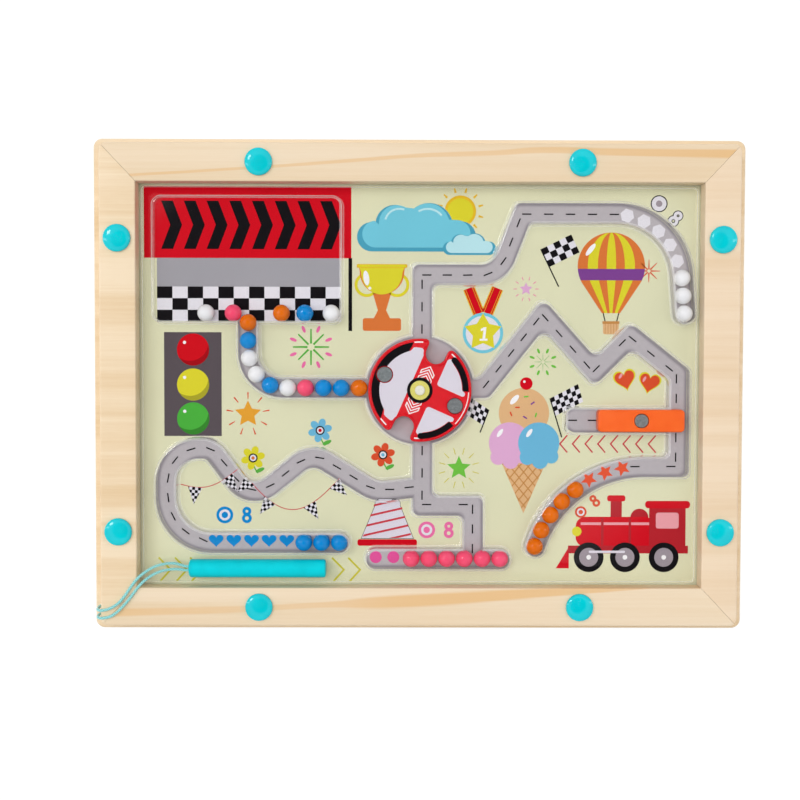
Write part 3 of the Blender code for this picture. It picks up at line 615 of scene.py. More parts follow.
def woodMaterial(name, along, light, dark, streaks=(), roughness=0.42):
    # sanded pine under a thin clear lacquer: long fine grain, soft growth bands and a few warm resin streaks
    material, tree, shader, here = startMaterial(name, {
        "Roughness": roughness, "IOR": 1.5, "Coat Weight": 0.12, "Coat Roughness": 0.35})
    turn = 0 if along == "X" else math.pi / 2
    grain = {}
    for part, (scale, values) in woodGrain.items():
        way = addNode(tree, "ShaderNodeMapping", values={"Rotation": (0, 0, turn), "Scale": scale},
                      links={"Vector": here})
        grain[part] = addNode(tree, "ShaderNodeTexNoise", values=values, links={"Vector": way})
    mixed = addNode(tree, "ShaderNodeMath", {"operation": "MULTIPLY_ADD"}, {1: 0.45},
                    {0: grain["fibre"], 2: grain["band"]})
    mixed = addNode(tree, "ShaderNodeMath", {"operation": "MULTIPLY_ADD"}, {1: 0.18},
                    {0: grain["pore"], 2: mixed})
    ramp = addNode(tree, "ShaderNodeValToRGB", links={"Fac": mixed})
    setStops(ramp, (0.55, linear(dark)), (1.0, linear(light)))
    colour = ramp.outputs["Color"]
    parts = addNode(tree, "ShaderNodeSeparateXYZ", links={"Vector": here}).outputs
    for streak in streaks:
        # a warm streak: its middle, half width and strength follow three curves along the rail
        low, high = streak["span"]
        share = addNode(tree, "ShaderNodeMapRange", values={1: low * mm, 2: high * mm}, links={0: parts["X"]})
        readings = []
        for key, unit in (("middle", mm), ("half", mm), ("strength", 1)):
            values = streak[key]
            lowest, highest = min(v for p, v in values), max(v for p, v in values)
            reach = max(highest - lowest, 0.001)
            spots = [((p - low) / (high - low), (v - lowest) / reach) for p, v in values]
            curve = addNode(tree, "ShaderNodeFloatCurve", links={"Value": share})
            line = curve.mapping.curves[0]
            line.points[0].location = spots[0]
            line.points[1].location = spots[-1]
            for spot in spots[1:-1]:
                line.points.new(*spot)
            curve.mapping.update()
            readings.append(addNode(tree, "ShaderNodeMath", {"operation": "MULTIPLY_ADD"},
                                    {1: reach * unit, 2: lowest * unit}, {0: curve}))
        off = addNode(tree, "ShaderNodeMath", {"operation": "SUBTRACT"},
                      links={0: parts["Y"], 1: readings[0]})
        off = addNode(tree, "ShaderNodeMath", {"operation": "ABSOLUTE"}, links={0: off})
        off = addNode(tree, "ShaderNodeMath", {"operation": "DIVIDE"}, links={0: off, 1: readings[1]})
        rough = addNode(tree, "ShaderNodeMath", {"operation": "MULTIPLY_ADD"}, {1: 0.35},
                        {0: grain["fibre"], 2: off})
        soft = addNode(tree, "ShaderNodeMapRange", {"interpolation_type": "SMOOTHSTEP"},
                       {1: 0.85, 2: 1.5, 3: 1.0, 4: 0.0}, {0: rough})
        weight = addNode(tree, "ShaderNodeMath", {"operation": "MULTIPLY"}, links={0: soft, 1: readings[2]})
        warm = addNode(tree, "ShaderNodeMix", {"data_type": "RGBA"}, {7: linear(streak["colour"])},
                       {0: weight, 6: colour})
        colour = warm.outputs[2]
    bump = addNode(tree, "ShaderNodeBump", values={"Strength": 0.25, "Distance": 0.08 * mm},
                   links={"Height": mixed})
    wire(tree, shader, {"Base Color": colour, "Normal": bump})
    return material


pineLight, pineDark, resin = "#EBD7BB", "#E2C9A5", "#E2B67C"
topStreak = {
    "span": (-141, 142), "colour": resin,
    "middle": ((-141, 94.0), (-92.5, 97.0), (-58.3, 99.3), (-26, 101.8), (0, 103.8), (34.3, 105.1),
               (57.7, 106.4), (82.9, 105.7), (142, 105.0)),
    "half": ((-141, 0.6), (-60, 0.7), (0, 0.9), (50, 1.3), (142, 1.9)),
    "strength": ((-141, 0.6), (0, 0.55), (90, 0.7), (142, 0.85)),
}
lowStreak = {
    "span": (-141, 106), "colour": resin,
    "middle": ((-141, -103.3), (-78.9, -101.7), (-54.4, -100.3), (-17.9, -98.6), (18.5, -96.6), (52.2, -94.4),
               (82.3, -92.8), (106, -91.6)),
    "half": ((-141, 1.9), (-78, 1.4), (-50, 1.2), (-8.8, 2.8), (40, 2.3), (82, 1.2), (106, 0.6)),
    "strength": ((-141, 0.7), (-60, 0.45), (0, 0.8), (60, 0.8), (106, 0.3)),
}
# each rail's direction, side, colours and streaks
railWood = {
    "top": ("X", 1, pineLight, pineDark, [topStreak]),
    "bottom": ("X", -1, pineLight, pineDark, [lowStreak]),
    "left": ("Y", -1, "#EFDABB", "#E2C59C"),
    "right": ("Y", 1, "#ECD6BA", "#E4C9A7"),
}


def makeRails():
    size = rail
    low, top = board["railLow"], board["railTop"]
    full = (windowX + 2 * board["rails"][0], windowY + 2 * board["rails"][1])
    half, outer = Vector((windowX / 2, windowY / 2)), Vector((full[0] / 2, full[1] / 2))
    along = (outer - half).normalized() * 2
    innerEnd, outerEnd = half - along, outer + along
    shift = size["mitreGap"] / math.sqrt(2)
    frameLevels = [(-size["bevel"], low), (0, low + size["bevel"])]
    frameLevels += [(-inset, z) for inset, z in roundedEdge(size["outerRound"], top)]
    windowLevels = [(0, size["cutters"][0]), *roundedEdge(size["innerRound"], top),
                    (size["innerRound"] + 2, top + 2)]
    for name, (way, side, *wood) in railWood.items():
        upright = way == "Y"
        body = stacked("rail_" + name + "_wood",
                       [(grownBox(grow, *full, size["cornerRadius"]), z) for grow, z in frameLevels])
        # the rail is cut out of the whole frame by a wedge with both mitres
        near, far = (0, 1) if upright else (1, 0)
        wedge = [(side * end[near], sign * (end[far] - shift))
                 for sign, end in ((-1, innerEnd), (-1, outerEnd), (1, outerEnd), (1, innerEnd))]
        carve(body, "INTERSECT",
              [prism("wedge", wedge if upright else [(x, y) for y, x in wedge], *size["cutters"])])
        cuts = [stacked("window",
                        [(grownBox(grow, windowX, windowY, size["innerCorner"]), z)
                         for grow, z in windowLevels])]
        rabbet = roundedBox(windowX + 2 * size["rabbet"], windowY + 2 * size["rabbet"], size["rabbetCorner"])
        cuts.append(prism("rabbet", rabbet, size["cutters"][0], size["rabbetTop"]))
        for place in rivetPlaces:
            if (abs(place[0]) > windowX / 2) == upright:
                cuts.append(prism("bore", circle(size["boreRadius"], place, 24), *size["cutters"]))
        if name == "left":
            start, stop = size["holeSpan"]
            for place in size["holes"]:
                radius = size["holeRadius"]
                cuts.append(turned("hole", [(0, start), (radius, start), (radius, stop), (0, stop)], 24,
                                   place, "X"))
        carve(body, "DIFFERENCE", cuts)
        smoothBy(body, 32)
        dress(body, woodMaterial("pine, lacquered, %s rail" % name, way, *wood), "root", "pine",
              "rail_" + name)


makeRails()
paint(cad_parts["back_board"],
      woodMaterial("pine plywood, sanded", "X", "#EED9BA", "#DFC39A", roughness=0.55))
print("pine frame done")

# repeats: one tree stamps a shape along a path, one on given points, one makes a chequered panel

def startTree(name, sockets):
    # a geometry tree and its named inputs
    tree = bpy.data.node_groups.new(name, "GeometryNodeTree")
    for label, kind in {"Geometry": "Geometry", **sockets, "Material": "Material"}.items():
        tree.interface.new_socket(label, in_out="INPUT", socket_type="NodeSocket" + kind)
    tree.interface.new_socket("Geometry", in_out="OUTPUT", socket_type="NodeSocketGeometry")
    return tree, addNode(tree, "NodeGroupInput").outputs


def endTree(tree, instances, material):
    real = addNode(tree, "GeometryNodeRealizeInstances", links={"Geometry": instances})
    painted = addNode(tree, "GeometryNodeSetMaterial", links={"Geometry": real, "Material": material})
    addNode(tree, "NodeGroupOutput", links={"Geometry": painted})
    return tree


def stampTree(name, alongPath):
    tree, given = startTree(name, {"Stamp": "Object", "Pitch": "Float"})
    stamp = addNode(tree, "GeometryNodeObjectInfo", links={"Object": given["Stamp"]}).outputs["Geometry"]
    if alongPath:
        line = addNode(tree, "GeometryNodeMeshToCurve", links={"Mesh": given["Geometry"]})
        spaced = addNode(tree, "GeometryNodeResampleCurve", {"mode": "LENGTH"},
                         links={"Curve": line, "Length": given["Pitch"]})
        tangent = addNode(tree, "GeometryNodeInputTangent")
        turn = addNode(tree, "FunctionNodeAlignRotationToVector", {"axis": "X"}, links={"Vector": tangent})
        spots = {"Points": spaced, "Rotation": turn}
    else:
        spots = {"Points": given["Geometry"]}
    placed = addNode(tree, "GeometryNodeInstanceOnPoints", links={**spots, "Instance": stamp})
    return endTree(tree, placed, given["Material"])


def runTree(name, spots, edges, tree, inputs):
    # a plain mesh from a tree that runs on points of the board
    mesh = bpy.data.meshes.new(name)
    mesh.from_pydata([(x * mm, y * mm, 0) for x, y in spots], edges, [])
    piece = addObject(name, mesh)
    step = piece.modifiers.new("repeat", "NODES")
    step.node_group = tree
    for item in tree.interface.items_tree:
        if item.in_out == "INPUT" and item.name in inputs:
            step[item.identifier] = inputs[item.name]
    return applied(piece)


stampOnPath = stampTree("stamp along path", True)
stampOnPoints = stampTree("stamp on points", False)


# rivets

def glossyPlastic(name, colour, deep, roughness=0.16, speck=0.35, shine=0.5):
    # injection-moulded ABS: even colour, a faint flow mottle of about 6 mm, a 0.5 mm grain and a clear gloss
    material, tree, shader, here = startMaterial(name, {
        "Roughness": roughness, "IOR": 1.53, "Specular IOR Level": shine})
    flow = addNode(tree, "ShaderNodeTexNoise", values={"Scale": 160.0, "Detail": 3.0}, links={"Vector": here})
    ramp = addNode(tree, "ShaderNodeValToRGB", links={"Fac": flow})
    setStops(ramp, (0.3, linear(deep)), (0.7, linear(colour)))
    grain = addNode(tree, "ShaderNodeTexNoise", values={"Scale": 1800.0, "Detail": 2.0},
                    links={"Vector": here})
    bump = addNode(tree, "ShaderNodeBump", values={"Strength": speck, "Distance": 0.01 * mm},
                   links={"Height": grain})
    wire(tree, shader, {"Base Color": ramp, "Normal": bump})
    return material


turquoise = glossyPlastic("turquoise ABS, moulded and glossy", "#00CED8", "#00C4D0", 0.10, 0.15)
rivetShape = {
    "capRadius": 6.25, "capLow": 18.3, "capHigh": 20.6, "brim": 0.42, "brimEdge": 0.12, "shank": 2.5,
    "footRadius": 4.0, "footEdge": 0.25, "footLow": 0.4, "footHigh": 1.6, "segments": 56,
    # below 1 the cap is flatter in the middle than a ball, and rounder towards the brim
    "crown": 0.8,
}


def makeRivets():
    size = rivetShape
    radius, low, shank, edge = size["capRadius"], size["capLow"], size["shank"], size["brimEdge"]
    foot, footHigh = size["footRadius"], size["footHigh"]
    rise = size["capHigh"] - low - size["brim"]
    profile = [(0, size["capHigh"])]
    for i in range(1, 13):
        t = math.pi / 2 * i / 12
        profile.append((radius * math.sin(t), low + size["brim"] + rise * math.cos(t) ** size["crown"]))
    profile += [(radius, low + edge), (radius - edge, low), (shank, low), (shank, footHigh), (foot, footHigh),
                (foot, footHigh - size["footEdge"]), (shank, size["footLow"]), (0, size["footLow"])]
    stamp = turned("rivetStamp", profile, size["segments"])
    piece = runTree("rivets", rivetPlaces, [], stampOnPoints, {"Stamp": stamp, "Material": turquoise})
    bpy.data.objects.remove(stamp, do_unlink=True)
    smoothBy(piece, 35)
    dress(piece, turquoise, "root", "turquoise", *["rivet_%d" % n for n in range(1, 9)])


makeRivets()
print("rivets done")

# clear cover

coverShape = {
    "topRound": 1.4,        # outer radius along the lanes' tops
    "innerRound": 0.7,
    "foot": 0.8,            # fillet where a lane's wall meets the flange
    "draft": 0.2,           # how far each wall leans in by its top
    # the lanes' mouths: how far out, and height over the flange's foot
    "flare": ((0.5, -2), (0.5, 0), (0.15, 0.5)),
    "lipInset": 0.45,       # raised lip along the window
    "lipWidth": 1.3,
    "lipRise": 0.9,
    "lipCorner": 3.2,
    "overlap": 4,           # how far the flange reaches under the rails
    "cornerRadius": 1.5,
    "chamber": (85.2, 56.6, 4.0, (-78.642, 57.224)),
    "slider": (54.8, 11.4, 2.5, (94.387, -15.824)),
    "hubRadius": 25.0,
}


def coverMaterial():
    # clear PET sheet, thermoformed: so thin that the eye looks straight through it, glossier at steep walls
    material, tree, shader, here = startMaterial("clear thermoformed PET", {
        "Roughness": 0.05, "Metallic": 1.0, "Base Color": grey(0.97)})
    # soft waves of about 17 mm
    wave = addNode(tree, "ShaderNodeTexNoise", values={"Scale": 60.0, "Detail": 1.0}, links={"Vector": here})
    bump = addNode(tree, "ShaderNodeBump", values={"Strength": 0.25, "Distance": 0.2 * mm},
                   links={"Height": wave})
    wire(tree, shader, {"Normal": bump})
    facing = addNode(tree, "ShaderNodeLayerWeight", values={"Blend": 0.5}).outputs["Facing"]
    tint = addNode(tree, "ShaderNodeValToRGB", links={"Fac": facing})
    setStops(tint, (0.55, grey(1)), (0.97, (0.74, 0.74, 0.76, 1)))
    through = addNode(tree, "ShaderNodeBsdfTransparent", links={"Color": tint})
    steep = addNode(tree, "ShaderNodeMath", {"operation": "POWER"}, {1: 3.0}, {0: facing})
    share = addNode(tree, "ShaderNodeMapRange", values={1: 0.0, 2: 1.0, 3: 0.04, 4: 0.85}, links={0: steep})
    sheet = addNode(tree, "ShaderNodeMixShader", links={0: share, 1: through, 2: shader})
    # where the sheet bends over an edge a share of white diffuse is mixed in: partly the milkiness of the
    # stretched sheet, partly painted highlight, a pale line along each lane that stands in for the
    # reflections along its edges
    lay = addNode(tree, "ShaderNodeSeparateXYZ", links={0: here.node.outputs["Normal"]})
    level = addNode(tree, "ShaderNodeMath", {"operation": "ABSOLUTE"}, links={0: lay.outputs["Z"]})
    bend = addNode(tree, "ShaderNodeValToRGB", links={"Fac": level})
    setStops(bend, (0, grey(0)), (0.2, grey(0.08)), (0.45, grey(0.32)), (0.75, grey(0.32)), (0.94, grey(0)))
    milkAndHighlight = addNode(tree, "ShaderNodeBsdfDiffuse", values={"Color": grey(0.93)})
    bent = addNode(tree, "ShaderNodeMixShader", links={0: bend, 1: sheet, 2: milkAndHighlight})
    path = addNode(tree, "ShaderNodeLightPath").outputs
    lamps = addNode(tree, "ShaderNodeMixShader", links={0: path["Is Shadow Ray"], 1: bent, 2: through})
    sky = addNode(tree, "ShaderNodeMixShader", links={0: path["Is Diffuse Ray"], 1: lamps, 2: through})
    wire(tree, tree.nodes["Material Output"], {"Surface": sky})
    return material


def lipPiece(high):
    # the raised lip along the window, as a closed ring
    rise, width = coverShape["lipRise"], coverShape["lipWidth"]
    sides = [(0, -0.5), (0.1, 0.45 * rise), (0.3, 0.85 * rise), (0.5, rise),
             (width - 0.5, rise), (width - 0.25, 0.85 * rise), (width - 0.05, 0.45 * rise), (width, -0.5)]
    loops = []
    for inset, lift in sides:
        outline = grownBox(-inset - coverShape["lipInset"], windowX, windowY, coverShape["lipCorner"])
        loops.append([(x, y, high + lift) for x, y in outline])
    count = len(loops[0])
    corner = lambda k, i: k % len(loops) * count + i % count
    faces = [(corner(k, i), corner(k, i + 1), corner(k + 1, i + 1), corner(k + 1, i))
             for k in range(len(loops)) for i in range(count)]
    return meshPiece("lip", [p for loop in loops for p in loop], faces)


def makeCover():
    size = coverShape
    low, high = board["flangeLow"], board["flangeTop"]
    wall, lean, foot = board["wall"], size["draft"], size["foot"]
    half = board["lane"] / 2
    spaces = {name: (lambda grow, name=name: laneOutline(name, half + grow)) for name in laneCorners}
    for name in ("chamber", "slider"):
        spaces[name] = lambda grow, name=name: grownBox(grow, *size[name], 16)
    spaces["hub"] = lambda grow: circle(size["hubRadius"] + grow, (hubX, hubY), 160)
    sheet = roundedBox(windowX + 2 * size["overlap"], windowY + 2 * size["overlap"], size["cornerRadius"])
    cover = prism("clearCover", sheet, low, high)
    outsides, insides = [], []
    for name, outlineOf in spaces.items():
        levels = [(wall + foot, low + wall / 2), (wall + foot, high)]
        for k in (1, 2, 3):
            t = math.pi / 2 * k / 3
            levels.append((wall + foot - foot * math.sin(t), high + foot - foot * math.cos(t)))
        levels += [(wall - lean - inset, z) for inset, z in roundedEdge(size["topRound"], board["tunnelTop"])]
        outsides.append(stacked(name + "Out", [(outlineOf(grow), z) for grow, z in levels]))
        levels = [(grow, low + rise) for grow, rise in size["flare"]] + [(0, high)]
        levels += [(-lean - inset, z) for inset, z in roundedEdge(size["innerRound"], board["ceiling"], 4)]
        insides.append(stacked(name + "In", [(outlineOf(grow), z) for grow, z in levels]))
    outsides.append(lipPiece(high))
    carve(cover, "UNION", outsides, "MANIFOLD")
    carve(cover, "DIFFERENCE", insides, "MANIFOLD")
    smoothBy(cover, 35)
    return dress(cover, coverMaterial(), "root", "clear_cover", "clear_cover")


makeCover()
print("clear cover done")

# beads

beadShape = {"radius": 3.9, "seam": 0.03, "segments": 40, "rings": 26}
beadColours = {
    "white": ("#F5F5F7", "#EDEDF0"), "pink": ("#FF597E", "#F94A70"),
    "orange": ("#EE7400", "#E36A00"), "blue": ("#0090DE", "#0088D4"),
}
# the colours of the loose beads and of the queue, in their order, then how many lie in each end lane
beadPlaces = {
    "start": ("white", "pink", "orange", "blue", "white"),
    "queue": ("orange", "blue", "blue", "pink", "white", "blue", "white", "white", "blue", "orange"),
    "blue": ("blue",) * 3,
    "pink": ("pink",) * 6,
    "orange": ("orange",) * 5,
    "white": ("white",) * 3,
}


def makeBeads():
    # enamelled beads with a steel core: a thin parting line shows under the gloss
    materials = {name: glossyPlastic(name + " enamel on a steel-cored bead", light, dark, 0.14, 0.6, 0.42)
                 for name, (light, dark) in beadColours.items()}
    rings, radius = beadShape["rings"], beadShape["radius"]
    profile = []
    for i in range(rings + 1):
        t = math.pi * i / rings
        reach = 0 if i in (0, rings) else radius * math.sin(t)
        if i == rings / 2:
            reach -= beadShape["seam"]
        profile.append((reach, radius * math.cos(t)))
    rnd = random.Random(7)
    for lane, colours in beadPlaces.items():
        for number, colour in enumerate(colours, 1):
            node = "bead_%s_%d" % (lane, number)
            low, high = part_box(node)
            middle = (Vector(low) + Vector(high)) / 2
            bead = turned(node + "_ball", profile, beadShape["segments"], smooth=80)
            angle = rnd.uniform(0, math.pi)
            axis = Vector((rnd.uniform(-1, 1), rnd.uniform(-1, 1), rnd.uniform(0.2, 1))).normalized()
            bead.data.transform(Matrix.Translation(middle) @ Matrix.Rotation(angle, 4, axis))
            dress(bead, materials[colour], node, "bead_" + colour, node)


makeBeads()
print("beads done")

# gate rotor with its discs and axle

gate = {
    "radius": 23.6, "low": 8.1, "faceTop": 13.5, "rimTop": 13.9, "edge": 0.5,
    "turn": -24, "notchWidth": 9.4, "notchDepth": 10.1, "mouth": 1.8, "discReach": 17.6,
    "discRadius": 3.5, "pocket": 3.8, "pocketLow": 11.2, "bore": 1.8, "cutters": (7, 20),
}


def gateOutline(inset):
    size = gate
    half = size["notchWidth"] / 2 + inset
    floor = size["radius"] - size["notchDepth"] + size["notchWidth"] / 2
    mouth = size["mouth"] - inset
    across = size["notchWidth"] / 2 + size["mouth"]
    up = math.sqrt((size["radius"] - size["mouth"]) ** 2 - across ** 2)
    lean = math.atan2(up, across)
    points = []
    for i in range(9):
        a = lean + (math.pi - lean) * i / 8
        points.append((across + mouth * math.cos(a), up + mouth * math.sin(a)))
    for i in range(1, 24):
        a = -math.pi * i / 24
        points.append((half * math.cos(a), floor + half * math.sin(a)))
    for i in range(9):
        a = (math.pi - lean) * i / 8
        points.append((-across + mouth * math.cos(a), up + mouth * math.sin(a)))
    rim = size["radius"] - inset
    for i in range(1, 56):
        a = math.pi - lean + 2 * lean * i / 56
        points.append((rim * math.cos(a), rim * math.sin(a)))
    return points + [(-x, -y) for x, y in points]


gatePlace = (Matrix.Translation((hubX * mm, hubY * mm, 0))
             @ Matrix.Rotation(math.radians(gate["turn"]), 4, "Z"))


discShape = {"thickness": 2.0, "edge": 0.2}


def steelDisc(name, radius, top, place):
    # pressed disc with a small bevel round its face
    low, edge = top - discShape["thickness"], discShape["edge"]
    profile = [(0, low), (radius, low), (radius, top - edge), (radius - edge, top), (0, top)]
    return turned(name, profile, 48, place, smooth=20)


def steelMaterial():
    # zinc-plated mild steel disc, pressed and tumbled: grey, a little rough, with fine scratches
    material, tree, shader, here = startMaterial("zinc-plated steel", {"Metallic": 1.0, "Roughness": 0.5})
    # scratches 0.2 mm wide, drawn coarser than real ones so that they show, over a cloud of 1 mm
    scratchWay = addNode(tree, "ShaderNodeMapping",
                         values={"Rotation": (0, 0, 0.6), "Scale": (400, 6000, 400)},
                         links={"Vector": here})
    scratch = addNode(tree, "ShaderNodeTexNoise", values={"Scale": 1.0, "Detail": 3.0},
                      links={"Vector": scratchWay})
    cloud = addNode(tree, "ShaderNodeTexNoise", values={"Scale": 900.0, "Detail": 3.0},
                    links={"Vector": here})
    both = addNode(tree, "ShaderNodeMath", {"operation": "MULTIPLY_ADD"}, {1: 0.5}, {0: scratch, 2: cloud})
    ramp = addNode(tree, "ShaderNodeValToRGB", links={"Fac": both})
    setStops(ramp, (0.5, linear("#A7B2B6")), (1.0, linear("#D4DCDE")))
    bump = addNode(tree, "ShaderNodeBump", values={"Strength": 0.5, "Distance": 0.02 * mm},
                   links={"Height": both})
    wire(tree, shader, {"Base Color": ramp, "Normal": bump})
    return material


steel = steelMaterial()
redPlastic = glossyPlastic("red ABS, moulded", "#E30E1E", "#D60A1A", 0.22, 0.4)


def makeGate():
    size = gate
    rim, face = size["rimTop"], size["faceTop"]
    levels = [(size["edge"], size["low"]), (0, size["low"] + size["edge"]),
              *roundedEdge(size["edge"], rim, 4)]
    # the rim stands above the face
    levels += [(0.85, rim), (0.97, rim - 0.08), (1.02, face + 0.1), (1.1, face)]
    body = stacked("gateBody", [(gateOutline(inset), z) for inset, z in levels])
    cuts = [prism("bore", circle(size["bore"]), *size["cutters"])]
    for side in (-1, 1):
        ring = circle(size["pocket"], (side * size["discReach"], 0))
        cuts.append(prism("pocket", ring, size["pocketLow"], size["cutters"][1]))
    carve(body, "DIFFERENCE", cuts)
    body.data.transform(gatePlace)
    smoothBy(body, 32)
    dress(body, redPlastic, "rotor", "rotor_red", "gate_rotor")
    for number, side in enumerate((-1, 1), 1):
        disc = steelDisc("gateDisc_%d" % number, size["discRadius"], face, (side * size["discReach"], 0, 0))
        disc.data.transform(gatePlace)
        dress(disc, steel, "rotor", "steel", "rotor_steel_disc_%d" % number)


makeGate()

# the head's outline goes from its foot to the small dimple in its middle: radius and height above its foot
axleShape = {
    "foot": 1.5, "shank": 1.5, "headLow": 14.2,
    "head": ((2.1, 0), (2.3, 0.15), (2.3, 0.65), (2.15, 0.95), (1.8, 1.1), (0.8, 1.1), (0.6, 1.0),
             (0.35, 0.88), (0, 0.85)),
}


def makeAxle():
    foot, shank, low = axleShape["foot"], axleShape["shank"], axleShape["headLow"]
    profile = ([(0, foot), (shank, foot), (shank, low)]
               + [(radius, low + rise) for radius, rise in axleShape["head"]])
    axle = turned("axlePin", profile, 48, (hubX, hubY, 0), smooth=35)
    cream = glossyPlastic("cream POM pin", "#EDEBDC", "#E4E1CF", 0.3)
    dress(axle, cream, "root", "axle_white", "rotor_axle")


makeAxle()
print("gate done")

# slider bar

sliderShape = {
    "length": 39.8, "width": 10.4, "radius": 2.0, "low": 8.1, "top": 14.1, "bevel": 0.4, "edge": 0.9,
    "place": (101.3865, -15.824), "discRadius": 3.15, "discTop": 14.05, "pocket": 3.4,
    "pocketSpan": (11.8, 20),
}


def makeSlider():
    size = sliderShape
    levels = [(-size["bevel"], size["low"]), (0, size["low"] + size["bevel"])]
    levels += [(-inset, z) for inset, z in roundedEdge(size["edge"], size["top"])]
    bar = stacked("sliderBar", [
        (grownBox(grow, size["length"], size["width"], size["radius"], size["place"]), z)
        for grow, z in levels])
    carve(bar, "DIFFERENCE", [prism("pocket", circle(size["pocket"], size["place"]), *size["pocketSpan"])])
    smoothBy(bar, 35)
    orange = glossyPlastic("orange ABS, moulded, satin", "#FF6B20", "#F96014", 0.34, 0.9)
    dress(bar, orange, "slider", "slider_orange", "slider_bar")
    disc = steelDisc("sliderDisc", size["discRadius"], size["discTop"], (*size["place"], 0))
    dress(disc, steel, "slider", "steel", "slider_steel_disc")


makeSlider()
print("slider done")

# magnet pen

penShape = {
    "length": 62.7, "radius": 4.175, "place": (-74.1445, -83.812, 13.375), "bore": 2.9, "tipRound": 1.1,
    "tipWall": 1.2, "flange": 1.4, "seam": 0.04,
    "plugRound": ((0, 0), (2.4, 0), (3.05, 0.13), (3.55, 0.38), (3.92, 0.74), (4.12, 1.12), (4.165, 1.4)),
    "plugGap": 0.3, "plugLength": 5, "eyeRadius": 0.95, "eyeReach": 0.9, "eyeSpan": (-2, 3),
}


def makePen():
    satin = glossyPlastic("turquoise ABS, moulded and satin", "#00D0DC", "#00C7D3", 0.38, 0.6, 0.15)
    size = penShape
    place, seam = size["place"], size["seam"]
    tip, tail = size["length"] / 2, -size["length"] / 2
    radius, bore = size["radius"], size["bore"]
    start, floor = tail + size["flange"] + seam, tip - size["tipWall"]
    profile = ([(0, tip)]
               + [(radius - inset, x) for inset, x in reversed(roundedEdge(size["tipRound"], tip, 6))])
    profile += [(radius, start + seam), (radius - seam, start), (bore, start), (bore, floor), (0, floor)]
    barrel = turned("penBarrel", profile, 72, place, "X", 35)
    dress(barrel, satin, "pen", "turquoise", "pen_barrel")
    neck = bore - size["plugGap"]
    profile = [(r, tail + rise) for r, rise in size["plugRound"]]
    profile += [(neck, tail + size["flange"]), (neck, tail + size["plugLength"]),
                (0, tail + size["plugLength"])]
    plug = turned("penPlug", profile, 72, place, "X", 35)
    eye, (low, high) = size["eyeRadius"], [tail + x for x in size["eyeSpan"]]
    carve(plug, "DIFFERENCE", [
        turned("eye", [(0, low), (eye, low), (eye, high), (0, high)], 24,
               (place[0], place[1] + side * size["eyeReach"], place[2]), "X") for side in (1, -1)])
    smoothBy(plug, 35)
    dress(plug, satin, "pen", "turquoise", "pen_tail_plug")


def magnetMaterial():
    # sintered ferrite: dark grey, dull, finely grained at about 0.2 mm
    material, tree, shader, here = startMaterial("sintered ferrite", {"Roughness": 0.6, "Metallic": 0.3})
    grain = addNode(tree, "ShaderNodeTexNoise", values={"Scale": 5000.0, "Detail": 3.0},
                    links={"Vector": here})
    ramp = addNode(tree, "ShaderNodeValToRGB", links={"Fac": grain})
    setStops(ramp, (0, linear("#26262A")), (1, linear("#4A4A4E")))
    wire(tree, shader, {"Base Color": ramp})
    return material


makePen()
paint(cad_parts["pen_magnet"], magnetMaterial())
print("pen done")

# printed board and its road

inkColours = {
    "paper": "#DEDDBA", "black": "#120F13", "white": "#E2DFE6", "red": "#CF0A1E", "grey": "#9C929A",
    "panel": "#5A5156", "lampRed": "#CF0D1C", "lampRedDark": "#A30A16", "yellow": "#DBD232",
    "yellowDark": "#A9A22C", "green": "#4BAE3F", "greenDark": "#38852F", "gold": "#E2B82D",
    "orange": "#D9763A", "sky": "#73C7DB", "skyDark": "#4BA0BA", "cloud": "#B9E3EA",
    "purple": "#7D4390", "tan": "#DDB181", "waffle": "#C48B4F",
    "pink": "#DCA9CF", "blush": "#E76EA4", "babyBlue": "#6CB5D7", "heart": "#1287CC", "rust": "#D8502F",
    "lime": "#6FBF45", "leaf": "#5BAE45", "line": "#C8404A", "mustard": "#C9C23A", "shine": "#F4F2F4",
    "lavender": "#DCD6E1", "crimson": "#B3222C", "rose": "#E9A0A8", "dot": "#E0559A", "starRed": "#E2583A",
    "band": "#A09EA4", "amber": "#E3A035", "hubYellow": "#DDD573",
}
printGloss = {"Roughness": 0.5, "Specular IOR Level": 0.08}
inks = {}


def ink(name):
    # offset ink on coated paper: even, with a faint mottle of 1 mm, coarser than the
    # press screen so that it shows
    if name in inks:
        return inks[name]
    material, tree, shader, here = startMaterial(name + " offset ink on coated paper", printGloss)
    mottle = addNode(tree, "ShaderNodeTexNoise", values={"Scale": 900.0, "Detail": 4.0},
                     links={"Vector": here})
    cloud = addNode(tree, "ShaderNodeTexNoise", values={"Scale": 35.0, "Detail": 1.0}, links={"Vector": here})
    both = addNode(tree, "ShaderNodeMath", {"operation": "ADD"}, links={0: mottle, 1: cloud})
    shade = addNode(tree, "ShaderNodeMapRange", values={1: 0.7, 2: 1.3, 3: 0.965, 4: 1.03}, links={0: both})
    tone = addNode(tree, "ShaderNodeMix", {"data_type": "RGBA", "blend_type": "MULTIPLY"},
                   {0: 1.0, 6: linear(inkColours[name])}, {7: shade})
    wire(tree, shader, {"Base Color": tone.outputs[2]})
    inks[name] = material
    return material


paint(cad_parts["printed_board"], ink("paper"))

# the road's tone: "centre" is its printed grey, "edge" is painted shade along both its sides, for the shade
# of the cover's walls
roadShape = {
    "half": 4.75, "step": 0.34, "layers": 6, "lift": 0.01, "sink": 0.1, "centre": "#B6B0B4",
    "edge": "#8D878D",
    "slider": (45.3, 1.9, 0.6, (94.387, -15.824)), "hubRadius": 20.45,
}


